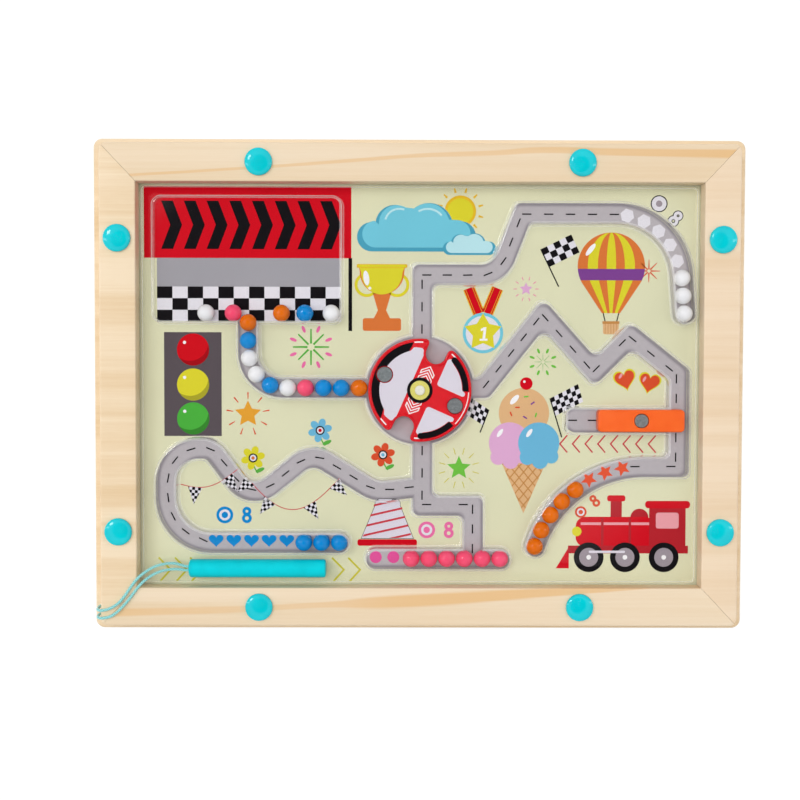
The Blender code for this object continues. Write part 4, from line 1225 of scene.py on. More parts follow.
def roadMaterial():
    # grey offset ink, darker towards both sides with painted shade that stands in for the shade of the
    # cover's walls: the tone follows the thin steps of the road's layers
    size = roadShape
    material, tree, shader, here = startMaterial("road grey offset ink on coated paper", printGloss)
    parts = addNode(tree, "ShaderNodeSeparateXYZ", links={"Vector": here})
    low, high = [(board["printTop"] + size["lift"] * layers) * mm for layers in (1, size["layers"])]
    share = addNode(tree, "ShaderNodeMapRange", {"interpolation_type": "SMOOTHSTEP"}, {1: low, 2: high},
                    {0: parts.outputs["Z"]})
    tone = addNode(tree, "ShaderNodeMix", {"data_type": "RGBA"},
                   {6: linear(size["edge"]), 7: linear(size["centre"])},
                   {0: share})
    mottle = addNode(tree, "ShaderNodeTexNoise", values={"Scale": 500.0, "Detail": 5.0},
                     links={"Vector": here})
    shade = addNode(tree, "ShaderNodeMapRange", values={1: 0.3, 2: 0.7, 3: 0.965, 4: 1.03}, links={0: mottle})
    both = addNode(tree, "ShaderNodeMix", {"data_type": "RGBA", "blend_type": "MULTIPLY"}, {0: 1.0},
                   {6: tone.outputs[2], 7: shade})
    wire(tree, shader, {"Base Color": both.outputs[2]})
    return material


# each layer is a little narrower and higher than the one below it, so that the material paints the shade
# towards the road's sides
def makeRoad():
    size = roadShape
    low = board["printTop"] - size["sink"]
    width, height, corner, centre = size["slider"]
    road = None
    for layer in range(size["layers"]):
        half = size["half"] - size["step"] * layer
        high = board["printTop"] + size["lift"] * (layer + 1)
        parts = [prism("road_" + name, laneOutline(name, half), low, high) for name in laneCorners]
        parts.append(prism("road_slider", grownBox(half, width, height, corner, centre), low, high))
        ring = prism("road", circle(size["hubRadius"] + half, (hubX, hubY), 120), low, high)
        if road is None:
            road = ring
        else:
            parts.append(ring)
        carve(road, "UNION", parts, "MANIFOLD")
    dress(road, roadMaterial(), "root", "print")


makeRoad()
print("road done")


# flat art: each motif is a set of thin printed layers, lowest level first

artSizes = {"sink": 0.05, "layer": 0.02}


def arc(x, y, radius, start, stop, steps=20):
    turns = [math.radians(start + (stop - start) * i / steps) for i in range(steps + 1)]
    return [(x + radius * math.cos(t), y + radius * math.sin(t)) for t in turns]


def disc(x, y, radius, steps=44):
    return arc(x, y, radius, 0, 360 * (steps - 1) / steps, steps - 1)


def oval(x, y, reachX, reachY, turn=0, steps=32):
    return moved([(reachX * px, reachY * py) for px, py in circle(1, steps=steps)], x, y, turn)


def box(x0, y0, x1, y1):
    return [(x0, y0), (x1, y0), (x1, y1), (x0, y1)]


def softBox(x0, y0, x1, y1, radius):
    return roundedBox(x1 - x0, y1 - y0, radius, ((x0 + x1) / 2, (y0 + y1) / 2), 6)


def moved(outline, x, y, turn=0, size=1):
    c, s = math.cos(math.radians(turn)), math.sin(math.radians(turn))
    return [(x + size * (px * c - py * s), y + size * (px * s + py * c)) for px, py in outline]


def star(x, y, outer, inner, count=5, turn=90):
    points = []
    for i in range(2 * count):
        radius, angle = (outer, inner)[i % 2], math.radians(turn + 180 * i / count)
        points.append((x + radius * math.cos(angle), y + radius * math.sin(angle)))
    return points


def heart(x, y, width, height, turn=0, steps=36):
    # the common heart curve, which is 32 wide and 29 high before it is scaled
    points = []
    for i in range(steps):
        t = 2 * math.pi * i / steps
        px = 16 * math.sin(t) ** 3
        py = 13 * math.cos(t) - 5 * math.cos(2 * t) - 2 * math.cos(3 * t) - math.cos(4 * t) + 2.5
        points.append((px * width / 32, py * height / 29))
    return moved(points, x, y, turn)


def stroke(path, width):
    # an open line drawn with a flat-ended pen
    spots = [Vector(p) for p in path]
    left, right = [], []
    for i, spot in enumerate(spots):
        before = (spot - spots[i - 1]).normalized() if i else (spots[1] - spot).normalized()
        after = (spots[i + 1] - spot).normalized() if i < len(spots) - 1 else before
        normals = Vector((-before.y, before.x)), Vector((-after.y, after.x))
        reach = (normals[0] + normals[1]) / max(0.35, 1 + normals[0].dot(normals[1])) * width / 2
        left.append(tuple(spot + reach))
        right.append(tuple(spot - reach))
    return left + right[::-1]


def clipped(outline, region):
    # the part of an outline inside a convex region that runs anticlockwise
    kept = [Vector(p) for p in outline]
    corners = [Vector(p) for p in region]
    for a, b in zip(corners, corners[1:] + corners[:1]):
        edge = b - a
        result = []
        for i, now in enumerate(kept):
            last = kept[i - 1]
            inNow, inLast = edge.cross(now - a) >= 0, edge.cross(last - a) >= 0
            if inNow != inLast:
                share = edge.cross(a - last) / edge.cross(now - last)
                result.append(last + (now - last) * share)
            if inNow:
                result.append(now)
        kept = result
        if len(kept) < 3:
            return []
    cleaned = [p for i, p in enumerate(kept) if (p - kept[i - 1]).length > 0.01]
    area = sum(p.cross(q) for p, q in zip(cleaned, cleaned[1:] + cleaned[:1])) / 2 if len(cleaned) > 2 else 0
    return [tuple(p) for p in cleaned] if abs(area) > 0.02 else []


def chequered(region, x, y, cell, turn, level, reach=6):
    # black squares of a chequer that is centred on x, y, cut to a region
    shapes = []
    for i in range(-reach, reach):
        for j in range(-reach, reach):
            if (i + j) % 2 == 0:
                square = moved(box(i * cell, j * cell, (i + 1) * cell, (j + 1) * cell), x, y, turn)
                part = clipped(square, region)
                if part:
                    shapes.append((part, level, "black"))
    return shapes


def anticlockwise(outline):
    area = sum(a[0] * b[1] - b[0] * a[1] for a, b in zip(outline, outline[1:] + outline[:1]))
    return outline if area > 0 else outline[::-1]


def printArt(name, shapes, base=board["printTop"], body="root", slot="print", place=None, holes=()):
    # one piece from outlines, each with its level and its ink
    points, faces, marks = [], [], []
    names = sorted({inkName for outline, level, inkName in shapes})
    for outline, level, inkName in shapes:
        outline = anticlockwise(list(outline))
        first, count = len(points), len(outline)
        low, high = base - artSizes["sink"], base + artSizes["layer"] * (level + 1)
        points += [(x, y, z) for z in (low, high) for x, y in outline]
        faces += [list(range(first, first + count))[::-1], list(range(first + count, first + 2 * count))]
        faces += [[first + i, first + (i + 1) % count, first + count + (i + 1) % count, first + count + i]
                  for i in range(count)]
        marks += [names.index(inkName)] * (count + 2)
    piece = meshPiece(name, points, faces)
    for inkName in names:
        piece.data.materials.append(ink(inkName))
    piece.data.polygons.foreach_set("material_index", marks)
    if place is not None:
        piece.data.transform(place)
    if holes:
        carve(piece, "DIFFERENCE", list(holes), "MANIFOLD")
    return settle(piece, body, slot)


def chequerTree():
    # a chequered panel: every second point of a grid carries one square
    tree, given = startTree("chequered panel", {
        "Columns": "Int", "Rows": "Int", "Width": "Float", "Height": "Float", "Thickness": "Float"})
    cells, spans = [], []
    for count, whole in (("Columns", "Width"), ("Rows", "Height")):
        cells.append(addNode(tree, "ShaderNodeMath", {"operation": "DIVIDE"},
                             links={0: given[whole], 1: given[count]}))
        spans.append(addNode(tree, "ShaderNodeMath", {"operation": "SUBTRACT"},
                             links={0: given[whole], 1: cells[-1]}))
    grid = addNode(tree, "GeometryNodeMeshGrid", links={
        "Size X": spans[0], "Size Y": spans[1], "Vertices X": given["Columns"], "Vertices Y": given["Rows"]})
    index = addNode(tree, "GeometryNodeInputIndex")
    column = addNode(tree, "ShaderNodeMath", {"operation": "DIVIDE"}, links={0: index, 1: given["Rows"]})
    column = addNode(tree, "ShaderNodeMath", {"operation": "FLOOR"}, links={0: column})
    row = addNode(tree, "ShaderNodeMath", {"operation": "MODULO"}, links={0: index, 1: given["Rows"]})
    both = addNode(tree, "ShaderNodeMath", {"operation": "ADD"}, links={0: column, 1: row})
    odd = addNode(tree, "ShaderNodeMath", {"operation": "MODULO"}, {1: 2.0}, {0: both})
    kept = addNode(tree, "FunctionNodeCompare", {"data_type": "FLOAT", "operation": "LESS_THAN"}, {1: 0.5},
                   {0: odd})
    size = addNode(tree, "ShaderNodeCombineXYZ",
                   links={"X": cells[0], "Y": cells[1], "Z": given["Thickness"]})
    cube = addNode(tree, "GeometryNodeMeshCube", links={"Size": size})
    placed = addNode(tree, "GeometryNodeInstanceOnPoints",
                     links={"Points": grid, "Selection": kept, "Instance": cube})
    return endTree(tree, placed, given["Material"])


# left, low, right and high sides of each field
startArea = {
    "red": (-126.5, 58.3, -31.5, 91.0),
    "band": (-120.6, 45.1, -36.2, 58.3),
    "chequers": (-120.6, 29.2, -36.2, 45.2),
    "bar": (-32.8, 25.0, -31.1, 58.4),
    "columns": 12, "rows": 3, "chequerHeight": 0.24,
    "arrow": ((0, 84.4), (5.4, 84.4), (9.6, 73.4), (5.4, 62.4), (0, 62.4), (4.2, 73.4)),
    "arrows": 8, "firstArrow": -118.6, "arrowPitch": 10.4,
}


def makeStartArea():
    area = startArea
    left, low, right, high = area["chequers"]
    shapes = [(box(*area["red"]), 0, "red"), (box(*area["band"]), 0, "band"),
              (box(*area["chequers"]), 3, "white"), (box(*area["bar"]), 0, "black")]
    for i in range(area["arrows"]):
        # bold arrows that point to the gate
        x = area["firstArrow"] + i * area["arrowPitch"]
        shapes.append(([(x + px, y) for px, y in area["arrow"]], 1, "black"))
    printArt("artStart", shapes)
    panel = runTree("artChequers", [(0, 0)], [], chequerTree(), {
        "Columns": area["columns"], "Rows": area["rows"], "Width": (right - left) * mm,
        "Height": (high - low) * mm,
        "Thickness": area["chequerHeight"] * mm, "Material": ink("black")})
    panel.data.transform(Matrix.Translation(((left + right) / 2 * mm, (low + high) / 2 * mm,
                                             board["printTop"] * mm)))
    dress(panel, ink("black"), "root", "print")


trafficLight = {
    "panel": (-117.5, -23.5, -91.1, 24.3), "x": -104.2, "radius": 7.4,
    "lamps": {"lampRed": 16.3, "yellow": 0.2, "green": -15.4},
    "lit": (-1.5, 3.3, 8.5), "shine": (-3.9, 3.3, 0.75),     # place in the lamp, and radius
}


def makeTrafficLight():
    size = trafficLight
    x, radius = size["x"], size["radius"]
    shapes = [(box(*size["panel"]), 0, "panel")]
    for colour, y in size["lamps"].items():
        lit, shine = [disc(x + dx, y + dy, reach, steps)
                      for (dx, dy, reach), steps in ((size["lit"], 60), (size["shine"], 20))]
        shapes += [(disc(x, y, radius), 1, colour + "Dark"),
                   (clipped(disc(x, y, radius, 60), lit), 2, colour),
                   (shine, 3, "shine")]
    printArt("artTrafficLight", shapes)


trophy = {
    "x": -17.4, "handles": (7.0, 46.2), "handleRadii": ((5.6, "gold"), (5.4, "yellow"), (4.2, "paper")),
    "bowlTop": (10.6, 54.6), "bowl": (52.0, 10.2),
    "stem": ((-4.2, 42.4), (4.2, 42.4), (1.9, 34.5), (3.8, 30.8), (-3.8, 30.8), (-1.9, 34.5)),
}


def makeTrophy():
    size = trophy
    x, (reach, middle), (half, top) = size["x"], size["handles"], size["bowlTop"]
    shapes = [(disc(x + side * reach, middle, radius), level, colour) for side in (-1, 1)
              for level, (radius, colour) in enumerate(size["handleRadii"])]
    bowl = [(x - half, top)] + arc(x, *size["bowl"], 180, 360, 28) + [(x + half, top)]
    lit = [(px * 0.93 + (x - 1.2) * 0.07, py) if py < 54 else (px, py) for px, py in bowl]
    shapes += [(bowl, 3, "orange"), (lit, 4, "yellow"),
               (softBox(x - 11.6, 54.0, x + 11.6, 55.7, 0.6), 5, "gold"),
               (softBox(x - 10.9, 54.35, x + 10.9, 55.35, 0.4), 6, "yellow"),
               (oval(x - 7.2, 49.3, 1.3, 3.4, 8), 5, "shine"), (disc(x - 5.6, 44.6, 0.7, 18), 5, "shine"),
               ([(x + px, py) for px, py in size["stem"]], 1, "orange"),
               (softBox(x - 8.8, 25.1, x + 8.8, 30.9, 1.0), 2, "orange")]
    printArt("artTrophy", shapes)


medal = {
    "place": (29.1, 24.2),
    # width, level and ink
    "ribbon": ((5.6, 0, "gold"), (4.6, 1, "red"), (3.4, 2, "gold"), (3.0, 3, "red")),
    "numeral": ((-0.2, -2.2), (-1.5, -2.2), (-1.5, -3.1), (2.1, -3.1), (2.1, -2.2), (1.0, -2.2), (1.6, 3.1),
                (0.4, 3.1), (-1.1, 2.2), (-1.0, 1.3), (0.2, 1.7)),
}


def makeMedal():
    x, y = medal["place"]
    shapes = []
    for side in (-1, 1):
        foot, head = (x + side * 1.9, y + 9.0), (x + side * 6.6, y + 20.6)
        shapes += [(stroke([foot, head], width), level, colour) for width, level, colour in medal["ribbon"]]
    shapes += [(disc(x, y, 9.3), 4, "sky"), (disc(x, y, 7.9), 5, "white"),
               (star(x, y + 0.3, 8.9, 4.9), 6, "yellow"),
               (moved(medal["numeral"], x, y - 0.4), 7, "shine")]
    printArt("artMedal", shapes)


def burst(x, y, inner, outer, count, width, inkName, turn=0, taper=0.35):
    ray = [(inner, -width / 2), (outer, -width * taper / 2), (outer, width * taper / 2), (inner, width / 2)]
    return [(moved(ray, x, y, turn + 360 * i / count), 0, inkName) for i in range(count)]


# each one's place, its rays (from, to, count, width, ink, first angle, taper), and its petals or its star
fireworks = (
    ((-50.0, 17.6), (1.6, 8.3, 8, 0.95, "leaf", 0, 0.7), {"petals": (8.8, 1.7, 0.75, "blush")}),
    ((56.8, 11.0), (0.8, 4.2, 8, 0.25, "leaf"), {"petals": (5.4, 1.25, 0.55, "lime")}),
    ((105.3, 52.9), (0.8, 5.2, 8, 0.7, "rust", 0, 0.4), {}),
    ((-79.0, -13.3), (6.9, 10.0, 9, 0.35, "rust", 90, 2.0), {"star": (6.3, 3.1, "amber")}),
    ((18.3, -38.1), (6.5, 9.6, 12, 0.4, "mustard", 15, 0.8), {"star": (5.7, 2.6, "lime")}),
    ((48.8, 44.5), (4.2, 5.8, 10, 0.35, "blush", 0, 0.8), {"star": (3.1, 1.5, "pink")}),
)


def makeFireworks():
    shapes = []
    for (x, y), rays, extra in fireworks:
        shapes += burst(x, y, *rays)
        if "petals" in extra:
            reach, half, width, inkName = extra["petals"]
            shapes += [(moved(oval(reach, 0, half, width), x, y, 22.5 + 45 * i), 0, inkName)
                       for i in range(8)]
        if "star" in extra:
            outer, inner, inkName = extra["star"]
            shapes.append((star(x, y, outer, inner), 1, inkName))
    printArt("artFireworks", shapes)


def cloud(x, y, size=1.0):
    bumps = arc(-18, 6, 6, 270, 95, 16) + arc(-8.5, 11, 8, 185, 60, 16) + arc(5.5, 10, 9.8, 130, 15, 16)
    return moved(bumps + arc(18.5, 6.2, 6.2, 90, -90, 16), x, y, 0, size)


skyArt = {
    "sun": (18.5, 80.0), "sunRadii": ((7.2, "gold"), (5.9, "yellow")),
    "rays": (8.6, 10.8, 12, 1.1, "gold", 15, 0.5),
    # place, size, level and ink
    "clouds": ((-2.0, 61.5, 1.12, 2, "skyDark"), (-2.0, 63.3, 1.02, 3, "sky"),
               (22.5, 60.0, 0.5, 4, "skyDark"), (22.5, 60.9, 0.44, 5, "cloud")),
    "curls": ((-9.5, 74.4, 6.6, 165, 70, 14), (3.5, 72.6, 8.4, 120, 40, 14)),
}


def makeSky():
    shapes = [(disc(*skyArt["sun"], radius), level, colour)
              for level, (radius, colour) in enumerate(skyArt["sunRadii"])]
    shapes += burst(*skyArt["sun"], *skyArt["rays"])
    shapes += [(cloud(x, y, size), level, inkName) for x, y, size, level, inkName in skyArt["clouds"]]
    shapes += [(stroke(arc(*curl), 0.9), 4, "cloud") for curl in skyArt["curls"]]
    printArt("artSky", shapes)


balloon = {
    "place": (88.0, 55.0), "radius": 15.5, "foot": (4.2, -21.5),
    "gores": ((0.70, "yellow"), (0.40, "orange"), (0.14, "yellow")),     # share of the whole width
    "band": (-6.4, -1.2), "wickers": (-2, -1, 0, 1, 2), "wickerPitch": 1.3,
}


def makeBalloon():
    size = balloon
    (x, y), radius, (half, foot), (low, high) = size["place"], size["radius"], size["foot"], size["band"]
    envelope = arc(x, y, radius, -28, 208, 40) + [(x - half, y + foot), (x + half, y + foot)]
    shapes = [(envelope, 0, "orange")]
    shapes += [([(x + (px - x) * share, py) for px, py in envelope], level, colour)
               for level, (share, colour) in enumerate(size["gores"], 1)]
    shapes += [(clipped(box(x - 18, y + low, x + 18, y + high), disc(x, y, radius, 60)), 4, "purple"),
               (oval(x - 9.6, y + 7.6, 1.1, 3.4, -38), 4, "shine"),
               (softBox(x - 3.6, y - 31.2, x + 3.6, y - 25.2, 0.9), 2, "tan"),
               (box(x - 3.9, y - 26.4, x + 3.9, y - 25.2), 3, "waffle")]
    shapes += [(stroke([(x + side * 3.6, y + foot), (x + side * 2.6, y - 25.6)], 0.5), 1, "black")
               for side in (-1, 1)]
    for number in size["wickers"]:
        middle = x + number * size["wickerPitch"]
        shapes.append((stroke([(middle, y - 30.9), (middle, y - 26.4)], 0.25), 3, "waffle"))
    printArt("artBalloon", shapes)


# each flag's pole from foot to top, the two sides of its cloth from there, and its columns and rows
flags = (
    ((63.8, 45.6), (55.5, 62.7), (13.9, 6.8), (3.9, -8.1), 5, 3),
    ((28.0, -21.6), (32.0, -11.1), (-7.9, 5.2), (-2.4, -7.4), 5, 4),
    ((65.7, -23.8), (60.2, -5.8), (12.8, 6.6), (2.5, -8.1), 7, 4),
)


def makeFlags():
    square = ((0, 0), (1, 0), (1, 1), (0, 1))
    shapes = []
    for foot, top, across, drop, columns, rows in flags:
        corner = lambda u, v: (top[0] + across[0] * u + drop[0] * v, top[1] + across[1] * u + drop[1] * v)
        shapes.append(([corner(u, v) for u, v in square], 3, "white"))
        shapes += [([corner((i + u) / columns, (j + v) / rows) for u, v in square], 4, "black")
                   for i in range(columns) for j in range(rows) if (i + j) % 2 == 0]
        shapes.append((stroke([foot, top], 0.55), 5, "black"))
    printArt("artFlags", shapes)


iceCream = {
    "x": 48.2, "cone": ((-12.0, -31.5), (0, -59.0), (12.0, -31.5)), "wafflePitch": 4.2, "waffleLean": 14,
    "scoopRadius": 9.5, "scoopY": -26.4, "scoops": ((-6.6, 4, "pink"), (6.9, 9, "babyBlue")),
    "drips": ((-5.2, -6.6, 3.6), (0.6, -8.2, 3.8), (5.8, -6.2, 3.3)),     # place under the scoop, and radius
    "sprinkles": ((-3, -10), (4, -8), (5.5, -13.5), (-6, -13), (0.5, -14.6), (1, -5)),
    "sprinkleInks": ("rust", "purple", "lime"),
}


def makeIceCream():
    size = iceCream
    x, low = size["x"], size["scoopY"]
    wafer = [(x + px, py) for px, py in size["cone"]]
    shapes = [(wafer, 0, "tan")]
    for i in range(-6, 7):
        for level, lean in ((1, size["waffleLean"]), (2, -size["waffleLean"])):
            middle = x + i * size["wafflePitch"]
            part = clipped(stroke([(middle - lean, -62), (middle + lean, -28)], 0.55), wafer)
            if part:
                shapes.append((part, level, "waffle"))
    shapes += [(disc(x, -12.6, 11.6, 56), 3, "tan"), (oval(x - 4.4, -6.4, 1.2, 2.8, -42), 4, "shine")]
    for side, level, colour in size["scoops"]:
        # each scoop has three drips, one layer above the other
        shapes.append((disc(x + side, low, size["scoopRadius"], 50), level, colour))
        shapes += [(disc(x + side + dx, low + dy, radius, 30), level + k, colour)
                   for k, (dx, dy, radius) in enumerate(size["drips"], 1)]
        shapes.append((oval(x + side - 4.4, -21.8, 0.9, 2.2, -35), level + 4, "shine"))
    for i, (px, py) in enumerate(size["sprinkles"]):
        sprinkle = moved(softBox(-1.1, -0.35, 1.1, 0.35, 0.3), x + px, py, 37 * i)
        shapes.append((sprinkle, 4, size["sprinkleInks"][i % 3]))
    shapes += [(disc(x + 1.0, 1.0, 2.9, 30), 4, "red"), (disc(x + 0.1, 1.9, 0.6, 14), 5, "shine")]
    printArt("artIceCream", shapes)


# each one's middle, the ink of its petals and the ink of its heart
flowers = ((-76.7, -33.6, "yellow", "orange"), (-45.8, -20.8, "babyBlue", "red"),
           (-16.8, -32.0, "rust", "babyBlue"))
hearts = ((94.9, 2.4, 14), (105.9, 1.0, -12))     # middle and turn


def makeFlowers():
    shapes = []
    for x, y, petal, centre in flowers:
        shapes += [(stroke(arc(x + 9, y - 1, 9, 182, 222, 8), 0.6), 0, "leaf"),
                   (oval(x + 3.2, y - 5.6, 2.2, 0.9, 25), 1, "leaf")]
        shapes += [(moved(oval(3.5, 0, 2.1, 1.65), x, y, 60 * i + 15), 1 + i % 2, petal) for i in range(6)]
        shapes += [(disc(x, y, 2.1, 28), 3, "black"), (disc(x, y, 1.5, 28), 4, "white"),
                   (disc(x, y, 0.8, 20), 5, centre)]
    printArt("artFlowers", shapes)


def makeHearts():
    shapes = []
    for x, y, turn in hearts:
        shapes += [(heart(x, y, 10.6, 10.2, turn), 0, "yellow"), (heart(x, y, 9.2, 8.8, turn), 1, "rust"),
                   (oval(x - 2.2, y + 2.2, 0.6, 1.4, -30), 2, "rose")]
    printArt("artHearts", shapes)


locomotive = {
    # left, low, right and high side of each part, and the radius of its corners where they are soft
    "funnel": (88.6, -61.5, 93.8, -51.4, 0.6), "funnelTop": (87.0, -53.4, 95.4, -50.6, 1.0),
    "boiler": (72.5, -74.5, 109.0, -60.6, 4.4), "shine": (74.8, -64.4, 108.6, -63.2),
    "bands": ((84.2, -73.8, 85.4, -61.0, 0.4), (97.0, -73.8, 98.2, -61.0, 0.4)),
    "cab": (106.5, -75.0, 123.4, -55.6, 1.4), "roof": (104.6, -56.6, 125.4, -53.2, 1.5),
    "window": (109.6, -66.0, 120.2, -58.6, 1.2), "footplate": (69.0, -77.6, 124.6, -74.0),
    "dome": (102.0, -61.0, 4.2), "plough": ((69.4, -74.6), (69.4, -84.6), (63.4, -84.6)),
    "lamp": (73.0, -67.4, 2.2),
    "axles": (78.6, 95.4, 113.4), "axleY": -79.4, "rod": (78.6, -77.4, 95.4, -76.3, 0.5),
    "wheel": ((6.9, 48, "black"), (4.4, 40, "grey"), (1.1, 20, "shine")),     # radius, corners and ink
}


def makeLocomotive():
    size = locomotive
    shapes = [
        (softBox(*size["funnel"]), 0, "crimson"), (softBox(*size["funnelTop"]), 1, "red"),
        (arc(*size["dome"], 0, 180, 20), 0, "crimson"), (softBox(*size["boiler"]), 2, "red"),
        (box(*size["shine"]), 3, "rose"), *[(softBox(*band), 4, "crimson") for band in size["bands"]],
        (softBox(*size["cab"]), 5, "crimson"), (softBox(*size["roof"]), 6, "red"),
        (softBox(*size["window"]), 6, "rose"),
        (box(*size["footplate"]), 6, "crimson"), (size["plough"], 2, "red"),
        (disc(*size["lamp"], 28), 4, "yellow"),
    ]
    for x in size["axles"]:
        shapes += [(disc(x, size["axleY"], radius, steps), level, colour)
                   for level, (radius, steps, colour) in enumerate(size["wheel"], 7)]
    shapes.append((softBox(*size["rod"]), 10, "lavender"))
    printArt("artLocomotive", shapes)


cone = {
    # the pale form is this share of the dark one, about its middle
    "middle": (-14.6, -61.8), "rim": 0.972,
    "within": ((-26.2, -70.6), (-3.2, -70.6), (-9.0, -53.2), (-20.2, -53.2)),
    "bands": 6, "bandPitch": 4.3, "base": (-28.5, -74.2, -1.0, -71.2, 1.0),
}


def makeCone():
    (x, y), size = cone["middle"], cone["rim"]
    top = arc(-10.9, -54.6, 2.3, -15, 90, 6) + arc(-18.2, -54.6, 2.3, 90, 195, 6)
    body = [(-27.0, -71.0), (-2.4, -71.0), (-8.8, -55.2), *top, (-20.4, -55.2)]
    shapes = [(body, 0, "black"),
              ([(x + (px - x) * size, y + (py - y) * size) for px, py in body], 1, "lavender")]
    for i in range(cone["bands"]):
        rise = i * cone["bandPitch"]
        part = clipped(stroke([(-32, -75.2 + rise), (2, -67.4 + rise)], 0.95), cone["within"])
        if part:
            shapes.append((part, 2, "line"))
    shapes.append((softBox(*cone["base"]), 3, "red"))
    printArt("artCone", shapes)


# two strings: level, start, reach and rise to the end, sag, and where along its 20 steps the pennants hang
bunting = (
    (3, (-110.1, -45.8), (26.9, 7.5), 4.6, (5, 16)),
    (4, (-82.7, -38.7), (45.9, -4.3), 16.6, (2, 6, 14, 19)),
)


def makeBunting():
    shapes = []
    for level, (x, y), (reach, rise), sag, spots in bunting:
        line = [(x + reach * i / 20, y + rise * i / 20 - sag * math.sin(math.pi * i / 20)) for i in range(21)]
        shapes.append((stroke(line, 0.36), level, "line"))
        for k in spots:
            a, b = Vector(line[k - 1]), Vector(line[k + 1])
            middle = (a + b) / 2
            turn = math.degrees(math.atan2((b - a).y, (b - a).x))
            pennant = moved([(-3.3, 0), (0.0, -8.0), (3.3, 0)], middle.x, middle.y, turn)
            shapes += [(pennant, 5, "white"), *chequered(pennant, middle.x, middle.y, 1.35, turn, 6)]
    printArt("artBunting", shapes)


# a row of small open arrows, and larger ones by the pen
arrows = {
    "tip": (64.9, -26.8), "reach": (3.4, 4.0), "pitch": 5.85, "count": 8,
    "penPlaces": (-117.5, -110.0, -103.0, -37.4, -29.9),
    "penArrow": ((-2.9, -79.8), (2.6, -85.4), (-2.2, -90.8)),
}


def makeArrows():
    size = arrows
    (x, y), (across, up) = size["tip"], size["reach"]
    arrow = [(x + across, y + up), (x, y), (x + across, y - up)]
    shapes = [(stroke(moved(arrow, i * size["pitch"], 0), 0.65), 0, "line") for i in range(size["count"])]
    shapes += [(stroke(moved(size["penArrow"], place, 0), 0.85), 0, "mustard") for place in size["penPlaces"]]
    printArt("artArrows", shapes)


# ring's place and radius, numeral's place and height, ink and turn
laneNumbers = (
    ("Blue", (-89.8, -60.0), 3.9, (-79.6, -60.0), 7.6, "heart", 0),
    ("Pink", (3.5, -66.8), 3.9, (13.7, -66.8), 7.6, "blush", 0),
    ("Orange", (74.8, -58.4), 2.7, (81.2, -53.2), 6.0, "rust", 38),
    ("White", (109.7, 83.7), 3.9, (117.3, 76.9), 7.6, "white", -42),
)


def makeNumbers():
    # a target and the numeral of the number of beads, in each lane's colour; the white ones have a black rim
    for name, (x, y), reach, (left, low), height, colour, turn in laneNumbers:
        rimmed = name == "White"
        shapes = [(disc(x, y, reach, 40), 0, "black" if rimmed else colour),
                  (disc(x, y, reach * (0.87 if rimmed else 0.66), 40), 1, "white"),
                  (disc(x, y, reach * 0.38, 30), 2, "grey" if rimmed else colour)]
        upper, lower, bar, rim = 0.27 * height, 0.30 * height, 0.185 * height, 0.42
        for k, (middle, radius) in enumerate(((height / 2 - upper, upper), (lower - height / 2, lower))):
            ring = lambda grow: moved(disc(0, middle, radius + grow, 40), left, low, turn)
            if rimmed:
                shapes += [(ring(rim), k, "black"), (ring(-bar), 4, "black")]
            shapes += [(ring(0), 2 + k, colour), (ring(-bar - (rim if rimmed else 0)), 5, "paper")]
        printArt("artNumber" + name, shapes)


for make in (makeStartArea, makeTrafficLight, makeTrophy, makeMedal, makeFireworks, makeSky,
             makeBalloon, makeFlags, makeIceCream, makeFlowers, makeHearts, makeLocomotive, makeCone,
             makeBunting, makeArrows, makeNumbers):
    make()
print("printed art done")


# dashes and targets along the lanes

dashes = {
    "length": 4.3, "width": 0.62, "pitch": 8.6,
    "sharp": 5.0,           # a corner below this radius starts the dashes again
    "sink": 0.02, "lift": 0.09,
    # how far from each lane's start they begin, and from its end they stop; None: where the targets begin
    "spans": {"white": (28, None), "orange": (31, None), "blue": (6, None), "down": (28, 4)},
    "sliderFrom": (70.6, -15.9), "sliderLength": 46, "sliderPitch": 8.7,
}
targets = {
    "pitch": 8.15, "count": 8, "room": 6,
    "shapes": {
        "blue": (heart(0, 0, 6.9, 5.8, 0), "heart"), "pink": (disc(0, 0, 2.8, 30), "dot"),
        "orange": (star(0, 0, 3.9, 1.8, 5, 30), "starRed"), "white": (disc(0, 0, 3.3, 6), "white"),
    },
}


def lengthOf(points):
    return sum((b - a).length for a, b in zip(points, points[1:]))


def stretch(points, start, stop):
    # the part of a line between two distances
    stop = min(stop, lengthOf(points))
    count = max(2, int(stop - start))
    return [tuple(walk(points, start + (stop - start) * i / count)) for i in range(count + 1)]


def printAlong(name, path, outline, pitch, inkName):
    # one printed mark repeated along a path
    low, high = board["printTop"] - dashes["sink"], board["printTop"] + dashes["lift"]
    stamp = prism(name + "_mark", outline, low, high)
    edges = [(i, i + 1) for i in range(len(path) - 1)]
    piece = runTree(name, path, edges, stampOnPath,
                    {"Stamp": stamp, "Pitch": pitch * mm, "Material": ink(inkName)})
    bpy.data.objects.remove(stamp, do_unlink=True)
    dress(piece, ink(inkName), "root", "print")


